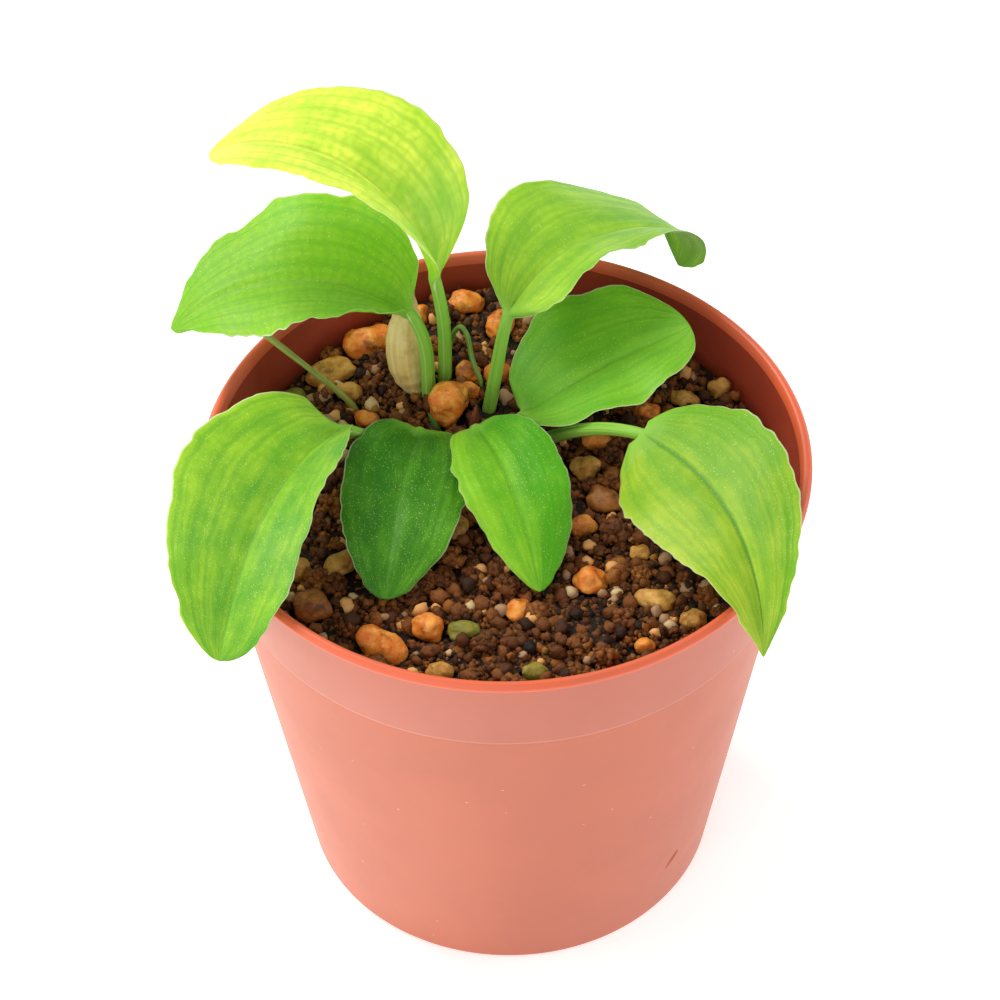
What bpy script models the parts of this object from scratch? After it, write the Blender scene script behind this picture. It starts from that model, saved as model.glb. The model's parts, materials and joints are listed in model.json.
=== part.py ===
"""Small foliage plant in a moulded plastic nursery pot.

Eight broad, stalked leaves grow from a short rhizome just under the surface of a dark, granular
potting mix strewn with pumice stones. The frame is metres, +Z up, with the origin on the surface
that the pot stands on, at the middle of the pot's base. +X is to the right and -Y to the front.
"""

from dataclasses import dataclass
from math import cos, exp, pi, radians, sin, sqrt

import bmesh
import bpy
from mathutils import Matrix, Vector, noise

MM = 0.001
GAP = 0.3 * MM  # clearance between pieces that touch
SOCKET_DEPTH = 3 * GAP  # how much deeper a socket is than what stands in it
SOCKET_GROWTH = 2 * GAP  # how much wider a socket is than a tapering piece, all round
SMALL = 1e-4  # keeps a division or a root away from nought

# ---- pot ---------------------------------------------------------------------------------------
POT_HEIGHT = 80 * MM
RIM_RADIUS = 45 * MM  # outside of the rolled lip
LAYOUT_MM = RIM_RADIUS / 45  # a millimetre of the plant's layout, which follows the rim
BASE_RADIUS = 32.2 * MM
POT_WALL = 0.9 * MM
POT_FLOOR = 1.2 * MM
LIP_DEPTH = 1.6 * MM  # height of the rolled lip
LIP_OVERHANG = 0.7 * MM  # how far the lip stands out from the collar
COLLAR_DEPTH = 16 * MM  # from the top of the lip to the lower edge of the collar
COLLAR_TAPER = 1.9 * MM  # how much the collar narrows on its way down
COLLAR_STEP = 0.7 * MM  # from the collar in to the body
FOOT_RADIUS = 1.2 * MM  # rounding between base and wall
POT_SIDES = 56
DRAIN_HOLES = 6
DRAIN_DIAMETER = 6 * MM
DRAIN_RING_RADIUS = 20 * MM
DRAIN_SIDES = 12

# ---- potting mix -------------------------------------------------------------------------------
MIX_DEPTH_BELOW_RIM = 9.5 * MM
MIX_ROUGHNESS = 0.5 * MM
MIX_RINGS = 11
MIX_SIDES = 44
HEAP_HEIGHT = 4.5 * MM  # the mix is heaped against the back wall
HEAP_CENTRE = (-4 * LAYOUT_MM, 40 * LAYOUT_MM)
HEAP_SPREAD = 13 * MM
CROWN_MOUND = 1.2 * MM  # and a little round the stalks
CROWN_CENTRE = (-8 * LAYOUT_MM, 17 * LAYOUT_MM)
CROWN_SPREAD = 9 * MM

# ---- leaves ------------------------------------------------------------------------------------
LEAF_THICKNESS = 0.6 * MM
STALK_RADIUS = 1.0 * MM
STALK_FOOT_RADIUS = 1.15 * MM
STALK_BURIED = 3.0 * MM  # how deep the stalks' feet stand below the level part of the mix
STALK_STEPS = 7
BLADE_STEPS = 13
LEAF_HALF_POINTS = 6  # points across the upper face of a leaf, less one
JUNCTION = 0.05  # share of the blade over which the stalk opens into it
HOOK_START = 0.75  # share of the blade after which its tip hooks
MIDRIB_PIECES = 12  # straight pieces that the midrib is added up from, per section
LOBE_START = 1.5 * MM  # width beyond the stalk at which the basal lobes reach back fully

# ---- rhizome and small plant pieces --------------------------------------------------------------
RHIZOME_LENGTH = 20 * LAYOUT_MM
RHIZOME_WIDTH = 11 * LAYOUT_MM
RHIZOME_HEIGHT = 6 * MM
RHIZOME_CENTRE = (-8 * LAYOUT_MM, 14.5 * LAYOUT_MM)
RHIZOME_TURN = 80  # degrees from +X
RHIZOME_CLEARANCE = 1.5 * GAP  # under the stalks' feet
RHIZOME_LUMPS = 0.1
RHIZOME_SEED = 4
SHEATH_HEIGHT = 16.5 * MM
SHEATH_RADIUS = 3.2 * MM
SHEATH_FOOT = (-13.4 * LAYOUT_MM, 21.4 * LAYOUT_MM)
SHEATH_LEAN = (-0.7 * MM, 6.0 * MM)  # how far its tip stands to the side of its foot
SHEATH_BOW = (-1.1 * MM, -0.2 * MM)  # how far its middle is off the straight line between them
SHEATH_BURIED = 1.5 * MM
SHEATH_SIDES = 10
SHEATH_OUTLINE = ((0.0, 0.35), (0.12, 0.55), (0.3, 0.86), (0.5, 1.0),
                  (0.7, 0.97), (0.85, 0.75), (0.95, 0.45), (1.0, 0.2))  # (share of height, of radius)
BUD_HEIGHT = 6.0 * MM
BUD_RADIUS = 0.9 * MM
BUD_FOOT = (-4.9 * LAYOUT_MM, 12.9 * LAYOUT_MM)
BUD_LEAN = (0.6 * MM, 0.6 * MM)
SHOOT_HEIGHT = 5.6 * MM
SHOOT_RADIUS = 0.6 * MM
SHOOT_FOOT = (-9.4 * LAYOUT_MM, 12.1 * LAYOUT_MM)
SHOOT_LEAN = (-2.2 * MM, 0.3 * MM)
SPIKE_BURIED = 1.0 * MM
SPIKE_OUTLINE = ((0.0, 0.8), (0.3, 1.0), (0.65, 0.7), (1.0, 0.12))
SPIKE_SIDES = 8
OLD_STALK_RADIUS = 0.5 * MM
OLD_STALK_PATH = ((-22.0, 18.3, -1.2), (-23.4, 18.6, 1.9), (-26.2, 19.2, 5.1),
                  (-30.8, 20.7, 8.9), (-35.2, 22.3, 12.3), (-37.0, 23.0, 13.5))  # mm, from the mix up
ROOT_RADIUS = 0.4 * MM
ROOT_PATH = ((-8.6, 28.0, 1.8), (-8.4, 27.4, 5), (-7.6, 26.6, 8.9), (-6.6, 25.8, 10.9),
             (-5.7, 25.0, 10.1), (-5.3, 24.4, 8.4), (-5.0, 23.6, 6.7), (-4.4, 22.3, 5.4),
             (-3.7, 21.5, 3.7), (-3.5, 21.3, 1.1))  # mm, from the mix up
RUNNER_SIDES = 6
RUNNER_STEPS = 3  # straight pieces between two points of a path
RUNNER_SOCKET_LENGTH = 4 * MM
TUBE_SIDES = 8

# ---- pumice ------------------------------------------------------------------------------------
STONE_SINK = 0.36  # share of a stone's height that is pressed into the mix
STONE_POCKET_GROWTH = 1.6  # a pocket's mouth is this much wider than its stone
STONE_POCKET_FLOOR = 1.05  # and its floor this much
STONE_POCKET_SIDES = 8
STONE_LUMPS = 0.16


@dataclass(frozen=True)
class Leaf:
    """One leaf: where its blade starts, how its midrib runs, and how the blade is cut and bent.

    Angles are degrees. A heading is measured from +X, anticlockwise, and a rise is above level.
    Lengths are millimetres of the plant's layout.
    """

    name: str
    base: tuple  # where the stalk meets the blade, its height from the pot's rim
    foot: tuple  # where the stalk enters the mix
    foot_rise: float
    foot_heading: float
    heading: float
    turn: float
    rise: float
    droop: float  # rise at the tip
    arch: float  # above 1 the blade bends late, below 1 early
    length: float
    left: float  # half-widths
    right: float
    left_widest: float  # share of the length
    right_widest: float
    fullness: float  # above 1 the blade is pinched towards its ends
    roll: float
    tip_roll: float
    fold: float
    tip_fold: float
    cup: float  # extra bend of the margin, negative is downwards
    lobe: float = 0.0  # how far the base of the blade reaches back past the stalk
    wave: float = 0.0  # height of the margin's waves
    waves: float = 2.5
    left_phase: float = 0.0
    right_phase: float = 1.0
    hook: float = 0.0  # extra bend over the last quarter
    neck_turn: float = 0.0  # heading and rise that the stalk ends with, beyond the blade's own
    neck_rise: float = 0.0
    colour: tuple = (0.16, 0.42, 0.05)


LEAVES = (
    Leaf("leaf_back_left_tall", (-10, 20.6, 15.2), (-9.2, 23), 90, 90, 150, 20, 77, -37, 1.2,
         46, 13, 16.5, 0.49, 0.46, 1.22, 18, 9, 42, 6, -14, wave=0.2, left_phase=0.6,
         colour=(0.55, 0.75, 0.10)),
    Leaf("leaf_back_left_low", (-13.7, 20.2, 9.2), (-10.8, 20.2), 75, 180, 158, 46, 27, -32, 1.0,
         38.7, 12.6, 16.4, 0.41, 0.41, 1.6, 2, -4, 33, -1, -10, wave=0.65, left_phase=0.7,
         right_phase=1.1, hook=-4, neck_rise=30, colour=(0.28, 0.58, 0.08)),
    Leaf("leaf_back_right", (0.5, 21.5, 7.4), (-3.4, 16.8), 70, 45, 59, -62, 26, -36, 1.0,
         42.6, 16, 10.8, 0.56, 0.36, 1.33, 8, -41, 31, -4, -2, wave=-0.75, left_phase=-1.5,
         right_phase=-0.35, hook=-97, neck_rise=34, colour=(0.40, 0.66, 0.10)),
    Leaf("leaf_right_inner", (2.7, 13, -5.1), (-0.8, 13.4), 62, 0, 19, 1, 30, 7, 1.0,
         28.6, 15.2, 11.5, 0.46, 0.40, 1.12, -11, 7, 21, 3, -3, lobe=0.7, wave=0.75, waves=2.6,
         left_phase=1.5, right_phase=1.3, hook=10, colour=(0.10, 0.34, 0.05)),
    Leaf("leaf_right_outer", (20, 0.7, 3.2), (0.6, 10.0), 62, -18, -50, -36, 14, -59, 2.1,
         45.7, 12.2, 12.2, 0.32, 0.33, 1.7, 24, 8, -1, 21, -12, lobe=2.0, wave=-0.75, waves=2.0,
         left_phase=0.8, right_phase=1.0, hook=-20, neck_turn=20, neck_rise=-6,
         colour=(0.45, 0.66, 0.10)),
    Leaf("leaf_front_right", (-4.4, 6.6, -1.3), (-4.6, 9.6), 85, -90, -66, -12, 25, -45, 0.9,
         31.2, 8.7, 7.5, 0.43, 0.41, 1.26, 9, 2, 20, 1, -21, lobe=1.8, wave=0.55, waves=2.4,
         left_phase=-0.5, right_phase=1.0, hook=10, neck_rise=30, colour=(0.20, 0.52, 0.06)),
    Leaf("leaf_front_left", (-12.9, 9.8, -5), (-12.4, 11.6), 85, -90, -102, 7, 22, -24, 0.9,
         33.6, 10, 9, 0.43, 0.41, 1.12, -5, -11, 20, 7, -12, lobe=2.0, wave=0.45, waves=2.5,
         left_phase=-2.4, right_phase=0.9, hook=-4, neck_rise=25, colour=(0.07, 0.27, 0.04)),
    Leaf("leaf_left_outer", (-23.7, 5.5, 0), (-15.8, 10.4), 55, -160, -122, 20, 29, -39, 1.0,
         48.1, 9.5, 14.9, 0.59, 0.40, 1.16, 10, 1, 31, 9, 0, lobe=1.0, wave=0.65, waves=2.5,
         left_phase=1.0, right_phase=0.85, hook=4, neck_turn=-25, neck_rise=5,
         colour=(0.26, 0.55, 0.07)),
)


@dataclass(frozen=True)
class Stone:
    """One pumice stone: its place on the mix, its three sizes and how it is turned (mm, degrees)."""

    x: float  # in the plant's layout
    y: float
    length: float
    width: float
    height: float
    turn: float = 0.0
    tone: str = "orange"
    lift: float = 0.0  # how far it stands above where it would lie, on the stones round it


TONES = {
    "orange": (0.85, 0.38, 0.08),
    "tan": (0.62, 0.42, 0.16),
    "brown": (0.40, 0.20, 0.08),
    "mossy": (0.22, 0.20, 0.06),
}

STONES = (
    Stone(-18.0, -29.0, 7.6, 4.8, 4.4, -32),
    Stone(-11.4, -26.0, 4.8, 4.4, 4.0, 20),
    Stone(1.7, -22.6, 4.6, 3.4, 3.2, 65),
    Stone(11.9, -17.0, 5.2, 4.6, 4.0, 20),
    Stone(21.4, -20.8, 6.0, 3.6, 3.0, -8, "tan"),
    Stone(26.7, -24.6, 4.2, 3.0, 2.8, 10, "tan"),
    Stone(-28.2, -21.4, 5.4, 5.2, 4.4, 15, "brown"),
    Stone(-24.2, -12.8, 7.4, 3.8, 3.2, 45, "tan"),
    Stone(-30.4, -14.2, 4.0, 3.4, 3.0, 80, "tan"),
    Stone(13.6, 11.6, 5.0, 3.6, 3.0, -12),
    Stone(12.0, 5.6, 4.8, 4.4, 3.8, 30, "tan"),
    Stone(14.6, -1.0, 6.0, 4.4, 3.4, -20, "brown"),
    Stone(11.2, -6.0, 4.0, 3.4, 3.0, 35),
    Stone(32.6, 22.4, 3.6, 3.4, 3.2, 0, "tan"),
    Stone(27.4, 20.2, 5.0, 3.0, 2.6, -15, "tan"),
    Stone(21.4, 17.4, 4.2, 3.4, 3.0, -10),
    Stone(-5.9, 37.6, 6.0, 4.2, 3.8, -5),
    Stone(-0.7, 32.6, 5.0, 4.2, 3.8, 70),
    Stone(-5.7, 23.7, 3.8, 3.7, 3.4, 0),
    Stone(-1.2, 23.8, 4.3, 3.7, 3.6, 15),
    Stone(-21.0, 32.0, 8.6, 5.2, 4.8, 18),
    Stone(-26.6, 26.2, 8.0, 4.6, 4.4, 12, "tan"),
    Stone(-23.8, 21.8, 4.2, 3.4, 3.2, -20, "tan"),
    Stone(-32.6, 19.8, 5.6, 4.8, 4.6, 100, "mossy"),
    Stone(-20.8, 15.8, 4.2, 3.0, 3.0, -25),
    Stone(-7.2, -6.2, 4.6, 3.0, 2.8, 80, "tan"),
    Stone(-6.4, -26.4, 4.6, 3.6, 2.6, 0, "mossy"),
    Stone(-9.7, -34.0, 4.2, 3.0, 2.4, 0, "tan"),
    Stone(3.8, -34.2, 3.8, 2.8, 2.4, 0, "mossy"),
    Stone(19.6, -29.6, 3.0, 2.8, 2.6, 0),
    Stone(-8.4, 16.2, 6.2, 5.6, 8.6, 25, "orange", 0.6),
    Stone(37.0, 12.4, 3.4, 3.0, 2.6, 0),
    Stone(-26.4, 6.4, 3.8, 2.8, 3.0, 85),
    Stone(-13.4, 35.4, 4.2, 3.4, 3.2, 60),
    Stone(31.6, 15.2, 4.6, 2.8, 2.4, -10, "brown"),
    Stone(19.5, -11.4, 3.2, 2.6, 2.2, 0, "tan"),
    Stone(-5.4, 20.0, 3.2, 2.8, 3.0, 10),
)

# ---- shared helpers ------------------------------------------------------------------------------
def clear_scene():
    for thing in list(bpy.data.objects):
        bpy.data.objects.remove(thing)


def material(name, colour, roughness):
    finish = bpy.data.materials.new(name)
    finish.use_nodes = True
    shader = finish.node_tree.nodes["Principled BSDF"]
    shader.inputs["Base Color"].default_value = (*colour, 1.0)
    shader.inputs["Roughness"].default_value = roughness
    shader.inputs["Metallic"].default_value = 0.0
    return finish


def add_object(name, mesh_source, finish, smooth=True):
    """Turns a bmesh into a named object with its material, its faces pointing out."""
    bmesh.ops.recalc_face_normals(mesh_source, faces=mesh_source.faces)
    mesh = bpy.data.meshes.new(name)
    mesh_source.to_mesh(mesh)
    mesh_source.free()
    if smooth:
        mesh.shade_smooth()
        mesh.set_sharp_from_angle(angle=radians(40))
    mesh.materials.append(finish)
    thing = bpy.data.objects.new(name, mesh)
    bpy.context.scene.collection.objects.link(thing)
    return thing


def as_cutter(thing):
    thing.hide_render = True
    thing.display_type = "WIRE"
    return thing


def cut(thing, cutter):
    step = thing.modifiers.new("cut_" + cutter.name, "BOOLEAN")
    step.operation = "DIFFERENCE"
    step.solver = "EXACT"
    step.object = cutter


def bridge_rings(shape, rings, closed_ends=True):
    """Skins a list of vertex rings of equal count, and caps both ends with a fan or a tip."""
    for low, high in zip(rings, rings[1:]):
        count = len(low)
        for i in range(count):
            j = (i + 1) % count
            if len(high) == 1:
                shape.faces.new((low[i], low[j], high[0]))
            else:
                shape.faces.new((low[i], low[j], high[j], high[i]))
    if closed_ends:
        for ring in (rings[0], rings[-1]):
            if len(ring) > 2:
                shape.faces.new(ring)


def smooth_path(points, steps):
    """A smooth curve through the points (Catmull-Rom), as a list with `steps` pieces per span."""
    knots = [Vector(p) for p in points]
    knots = [2 * knots[0] - knots[1], *knots, 2 * knots[-1] - knots[-2]]
    path = []
    for a, b, c, d in zip(knots, knots[1:], knots[2:], knots[3:]):
        for k in range(steps):
            u = k / steps
            path.append(0.5 * (2 * b + (c - a) * u + (2 * a - 5 * b + 4 * c - d) * u * u
                               + (3 * b - a - 3 * c + d) * u ** 3))
    path.append(knots[-2])
    return path


def tube(name, path, radii, finish, sides=TUBE_SIDES):
    """A round tube along a path with a radius at each point, capped at both ends."""
    shape = bmesh.new()
    side = Vector((1, 0, 0))
    rings = []
    for i, point in enumerate(path):
        ahead = (path[min(i + 1, len(path) - 1)] - path[max(i - 1, 0)]).normalized()
        side = (side - ahead * side.dot(ahead)).normalized()
        over = ahead.cross(side)
        rings.append([
            shape.verts.new(point + radii[i] * (side * cos(a) + over * sin(a)))
            for a in (2 * pi * k / sides for k in range(sides))
        ])
    bridge_rings(shape, rings)
    return add_object(name, shape, finish)


# ---- pot -----------------------------------------------------------------------------------------
def collar_top_radius():
    return RIM_RADIUS - LIP_OVERHANG


def body_top_radius():
    return collar_top_radius() - COLLAR_TAPER - COLLAR_STEP


def collar_foot_height():
    return POT_HEIGHT - COLLAR_DEPTH


def inner_radius(height):
    """Radius of the pot's inside at a height above its base."""
    if height < collar_foot_height():
        share = height / collar_foot_height()
        return BASE_RADIUS + (body_top_radius() - BASE_RADIUS) * share - POT_WALL
    share = (height - collar_foot_height()) / COLLAR_DEPTH
    low, high = body_top_radius() + COLLAR_STEP, collar_top_radius()
    return min(low + (high - low) * share, high) - POT_WALL


def pot_profile():
    """Half section of the pot as (radius, height) points, from under the base round to its floor."""
    foot = [(BASE_RADIUS - FOOT_RADIUS * (1 - sin(a)), FOOT_RADIUS * (1 - cos(a)))
            for a in (0.0, pi / 6, pi / 3, pi / 2)]
    waist = collar_foot_height()
    collar_low = body_top_radius() + COLLAR_STEP
    lip_low = POT_HEIGHT - LIP_DEPTH
    lip_centre = (RIM_RADIUS - LIP_DEPTH / 2, POT_HEIGHT - LIP_DEPTH / 2)
    lip = [(lip_centre[0] + LIP_DEPTH / 2 * cos(a), lip_centre[1] + LIP_DEPTH / 2 * sin(a))
           for a in (-pi / 3, 0, pi / 4, pi / 2, 3 * pi / 4)]
    inside_low = collar_low - POT_WALL
    return [
        *foot,
        (body_top_radius(), waist),
        (collar_low, waist + COLLAR_STEP),
        (collar_top_radius(), lip_low),
        *lip,
        (inner_radius(lip_low), lip_low),
        (inside_low, waist + COLLAR_STEP),
        (inner_radius(waist - COLLAR_STEP), waist - COLLAR_STEP),
        (inner_radius(POT_FLOOR + FOOT_RADIUS), POT_FLOOR + FOOT_RADIUS),
        (inner_radius(POT_FLOOR) - FOOT_RADIUS, POT_FLOOR),
    ]


def turned(profile, sides):
    """A bmesh of a profile turned about Z, closed with a point on the axis at both ends."""
    shape = bmesh.new()
    rings = [[shape.verts.new((r * cos(a), r * sin(a), z))
              for a in (2 * pi * k / sides for k in range(sides))] for r, z in profile]
    start = shape.verts.new((0, 0, profile[0][1]))
    end = shape.verts.new((0, 0, profile[-1][1]))
    bridge_rings(shape, rings, closed_ends=False)
    for ring, centre in ((rings[0], start), (rings[-1], end)):
        for i in range(sides):
            shape.faces.new((ring[i], ring[(i + 1) % sides], centre))
    return shape


def make_pot():
    plastic = material("terracotta_plastic", (0.72, 0.20, 0.10), 0.35)
    pot = add_object("pot", turned(pot_profile(), POT_SIDES), plastic)
    drill = bmesh.new()
    for k in range(DRAIN_HOLES):
        turn = Matrix.Rotation(2 * pi * k / DRAIN_HOLES, 4, "Z")
        place = turn @ Matrix.Translation((DRAIN_RING_RADIUS, 0, POT_FLOOR / 2))
        bmesh.ops.create_cone(drill, cap_ends=True, segments=DRAIN_SIDES, radius1=DRAIN_DIAMETER / 2,
                              radius2=DRAIN_DIAMETER / 2, depth=4 * POT_FLOOR, matrix=place)
    cut(pot, as_cutter(add_object("drain_drill", drill, pot.data.materials[0])))
    return pot


# ---- potting mix -----------------------------------------------------------------------------------
def bump(x, y, centre, height, spread):
    return height * exp(-((x - centre[0]) ** 2 + (y - centre[1]) ** 2) / (2 * spread ** 2))


def mix_height(x, y):
    """Height of the mix's surface, without its roughness."""
    return (POT_HEIGHT - MIX_DEPTH_BELOW_RIM
            + bump(x, y, HEAP_CENTRE, HEAP_HEIGHT, HEAP_SPREAD)
            + bump(x, y, CROWN_CENTRE, CROWN_MOUND, CROWN_SPREAD))


def mix_radius(height):
    """Radius of the plug of mix at a height, inside the faceted wall of the pot."""
    return (inner_radius(height) - GAP) * cos(pi / POT_SIDES) - 0.1 * GAP


def make_mix():
    shape = bmesh.new()
    rings = []
    foot = POT_FLOOR + GAP
    for height in (foot, foot + FOOT_RADIUS, collar_foot_height() - COLLAR_STEP):
        radius = mix_radius(height) - (FOOT_RADIUS if height == foot else 0)
        rings.append((radius, height))
    solid_rings = [[shape.verts.new((r * cos(a), r * sin(a), z))
                    for a in (2 * pi * k / MIX_SIDES for k in range(MIX_SIDES))] for r, z in rings]
    edge = mix_radius(collar_foot_height() + COLLAR_STEP)
    top_rings = []
    for i in range(MIX_RINGS):
        radius = edge * (1 - i / MIX_RINGS)
        ring = []
        for k in range(MIX_SIDES):
            a = 2 * pi * k / MIX_SIDES
            x, y = radius * cos(a), radius * sin(a)
            rough = noise.noise(Vector((x, y, 0)) * 260) * MIX_ROUGHNESS
            ring.append(shape.verts.new((x, y, mix_height(x, y) + rough)))
        top_rings.append(ring)
    centre = shape.verts.new((0, 0, mix_height(0, 0)))
    floor = shape.verts.new((0, 0, foot))
    bridge_rings(shape, solid_rings + top_rings, closed_ends=False)
    for ring, point in ((top_rings[-1], centre), (solid_rings[0], floor)):
        for i in range(MIX_SIDES):
            shape.faces.new((ring[i], ring[(i + 1) % MIX_SIDES], point))
    return add_object("potting_mix", shape, material("moist_potting_mix", (0.045, 0.02, 0.01), 0.8))


# ---- leaves ----------------------------------------------------------------------------------------
def direction(heading, rise):
    h, r = radians(heading), radians(rise)
    return Vector((cos(r) * cos(h), cos(r) * sin(h), sin(r)))


def eased(x):
    x = min(max(x, 0.0), 1.0)
    return x * x * (3 - 2 * x)


def spread(share, widest, fullness):
    """Half-width of the blade at a share of its length, as a share of its greatest half-width."""
    if share <= 0 or share >= 1:
        return 0.0
    rise = (share / widest) ** widest
    fall = ((1 - share) / (1 - widest)) ** (1 - widest)
    return (rise * fall) ** fullness


def blade_base(leaf):
    """Where the blade starts. Its height is measured from the rim, which some blades hang over."""
    x, y, height = leaf.base
    return Vector((x * LAYOUT_MM, y * LAYOUT_MM, POT_HEIGHT + height * MM))


def blade_steps():
    """Shares of the length at which the blade has a section, close together at both ends."""
    return [0.5 - 0.5 * cos(pi * i / BLADE_STEPS) for i in range(BLADE_STEPS + 1)]


def midrib_direction(leaf, share):
    rise = leaf.rise + (leaf.droop - leaf.rise) * share ** leaf.arch
    rise += leaf.hook * eased((share - HOOK_START) / (1 - HOOK_START))
    return direction(leaf.heading + leaf.turn * share, rise)


def midrib(leaf, shares):
    """Points of the midrib at the shares of its length, by adding up its direction in small steps."""
    point = blade_base(leaf)
    points = [point.copy()]
    for low, high in zip(shares, shares[1:]):
        step = (high - low) / MIDRIB_PIECES
        for k in range(MIDRIB_PIECES):
            ahead = midrib_direction(leaf, low + step * (k + 0.5))
            point = point + ahead * step * leaf.length * LAYOUT_MM
        points.append(point.copy())
    return points


def blade_frame(leaf, share):
    """The blade's side and upward directions at a share of its length."""
    ahead = midrib_direction(leaf, share)
    level = Vector((0, 0, 1)).cross(direction(leaf.heading + leaf.turn * share, 0))
    over = ahead.cross(level)
    roll = radians(leaf.roll + (leaf.tip_roll - leaf.roll) * share)
    return ahead, level * cos(roll) + over * sin(roll), over * cos(roll) - level * sin(roll)


def section_point(leaf, share, across, upper, centre, frame):
    """One point of the blade's surface: across runs from 1, its left margin, to -1, its right one."""
    ahead, side, over = frame
    left = across > 0
    reach = abs(across)
    widest = leaf.left_widest if left else leaf.right_widest
    half = (leaf.left if left else leaf.right) * LAYOUT_MM * spread(share, widest, leaf.fullness)
    width = sqrt(half ** 2 + STALK_RADIUS ** 2 * (1 - eased(share)) ** 2)
    opened = eased(share / JUNCTION)
    fold = radians(leaf.fold + (leaf.tip_fold - leaf.fold) * share) * opened
    cup = radians(leaf.cup) * opened
    cup = cup if abs(cup) > SMALL else SMALL
    lateral = width * (sin(fold + cup * reach) - sin(fold)) / cup
    lift = width * (cos(fold) - cos(fold + cup * reach)) / cup
    ripple = sin(2 * pi * leaf.waves * share + (leaf.left_phase if left else leaf.right_phase))
    lift += leaf.wave * LAYOUT_MM * reach ** 2 * ripple * sqrt(sin(pi * share) + SMALL ** 2)
    flare = min(1.0, (width - STALK_RADIUS) / LOBE_START)
    back = leaf.lobe * LAYOUT_MM * reach ** 1.5 * (1 - share) ** 4 * flare
    half_thickness = LEAF_THICKNESS / 2 + (STALK_RADIUS - LEAF_THICKNESS / 2) * (1 - opened)
    thick = half_thickness * sqrt(max(0.0, 1 - reach ** 2)) * (1 if upper else -1)
    lean = fold + cup * reach
    outward = side * (1 if left else -1)
    face = over * cos(lean) - outward * sin(lean)
    return centre + outward * lateral + over * lift - ahead * back + face * thick


def ring_positions():
    """(across, upper) for each point round a section, from the left margin over the top and back."""
    top = [(cos(pi * k / LEAF_HALF_POINTS), True) for k in range(LEAF_HALF_POINTS + 1)]
    bottom = [(cos(pi * k / LEAF_HALF_POINTS), False) for k in range(LEAF_HALF_POINTS - 1, 0, -1)]
    return top + bottom


def stalk_foot_height():
    return POT_HEIGHT - MIX_DEPTH_BELOW_RIM - STALK_BURIED


def stalk_path(leaf):
    """The stalk's centre line and directions, from its foot in the mix up to the blade."""
    foot = Vector((leaf.foot[0] * LAYOUT_MM, leaf.foot[1] * LAYOUT_MM, stalk_foot_height()))
    base = blade_base(leaf)
    reach = (base - foot).length
    start = direction(leaf.foot_heading, leaf.foot_rise) * reach
    finish = direction(leaf.heading + leaf.neck_turn, leaf.rise + leaf.neck_rise) * reach
    path = []
    for k in range(STALK_STEPS):
        u = k / STALK_STEPS
        point = ((2 * u ** 3 - 3 * u ** 2 + 1) * foot + (u ** 3 - 2 * u ** 2 + u) * start
                 + (3 * u ** 2 - 2 * u ** 3) * base + (u ** 3 - u ** 2) * finish)
        slope = ((6 * u ** 2 - 6 * u) * foot + (3 * u ** 2 - 4 * u + 1) * start
                 + (6 * u - 6 * u ** 2) * base + (3 * u ** 2 - 2 * u) * finish)
        path.append((point, slope.normalized()))
    return path


def make_leaf(leaf):
    shape = bmesh.new()
    rings = []
    ring = ring_positions()
    _, first_side, _ = blade_frame(leaf, 0)
    path = stalk_path(leaf)
    for k, (point, ahead) in enumerate(path):
        side = (first_side - ahead * first_side.dot(ahead)).normalized()
        over = ahead.cross(side)
        radius = STALK_FOOT_RADIUS + (STALK_RADIUS - STALK_FOOT_RADIUS) * k / STALK_STEPS
        rings.append([
            shape.verts.new(point + radius * (side * a + over * sqrt(1 - a * a) * (1 if up else -1)))
            for a, up in ring
        ])
    shares = blade_steps()
    centres = midrib(leaf, shares)
    for share, centre in zip(shares[:-1], centres):
        frame = blade_frame(leaf, share)
        rings.append([
            shape.verts.new(section_point(leaf, share, a, up, centre, frame)) for a, up in ring
        ])
    rings.append([shape.verts.new(centres[-1])])
    bridge_rings(shape, rings[:-1], closed_ends=False)
    shape.faces.new(rings[0])
    bridge_rings(shape, rings[-2:], closed_ends=False)
    return add_object(leaf.name, shape, material(leaf.name + "_green", leaf.colour, 0.45))


def stalk_socket(leaf):
    """A tube round the buried part of a stalk, wide enough to leave the gap all round."""
    radius = (STALK_FOOT_RADIUS + GAP) / cos(pi / TUBE_SIDES) + 0.5 * GAP
    (foot, ahead), (above, _) = stalk_path(leaf)[:2]
    ends = [foot - ahead * SOCKET_DEPTH, above]
    while ends[-1].z < mix_height(ends[-1].x, ends[-1].y) + 2 * MIX_ROUGHNESS:
        ends.append(ends[-1] + (above - foot) / 2)
    return as_cutter(tube(leaf.name + "_socket", ends, [radius] * len(ends), bpy.data.materials[0]))


# ---- rhizome, sheath and the small plant pieces ----------------------------------------------------
def lump(name, centre, sizes, turn, finish, lumps=0.0, seed=0, detail=1):
    """A rounded lump: an icosphere pushed in and out by noise, then scaled, turned and placed."""
    shape = bmesh.new()
    bmesh.ops.create_icosphere(shape, subdivisions=detail + 1, radius=0.5)
    offset = Vector((seed * 3.7, seed * 1.3, seed * 5.1))
    for vert in shape.verts:
        vert.co *= 1 + lumps * noise.noise(vert.co * 3.1 + offset) * 2
    low = [min(v.co[i] for v in shape.verts) for i in range(3)]
    high = [max(v.co[i] for v in shape.verts) for i in range(3)]
    for vert in shape.verts:
        vert.co = Vector([
            (vert.co[i] - (low[i] + high[i]) / 2) / (high[i] - low[i]) * sizes[i] for i in range(3)
        ])
    place = Matrix.Translation(centre) @ Matrix.Rotation(radians(turn), 4, "Z")
    bmesh.ops.transform(shape, matrix=place, verts=shape.verts)
    return add_object(name, shape, finish)


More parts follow.
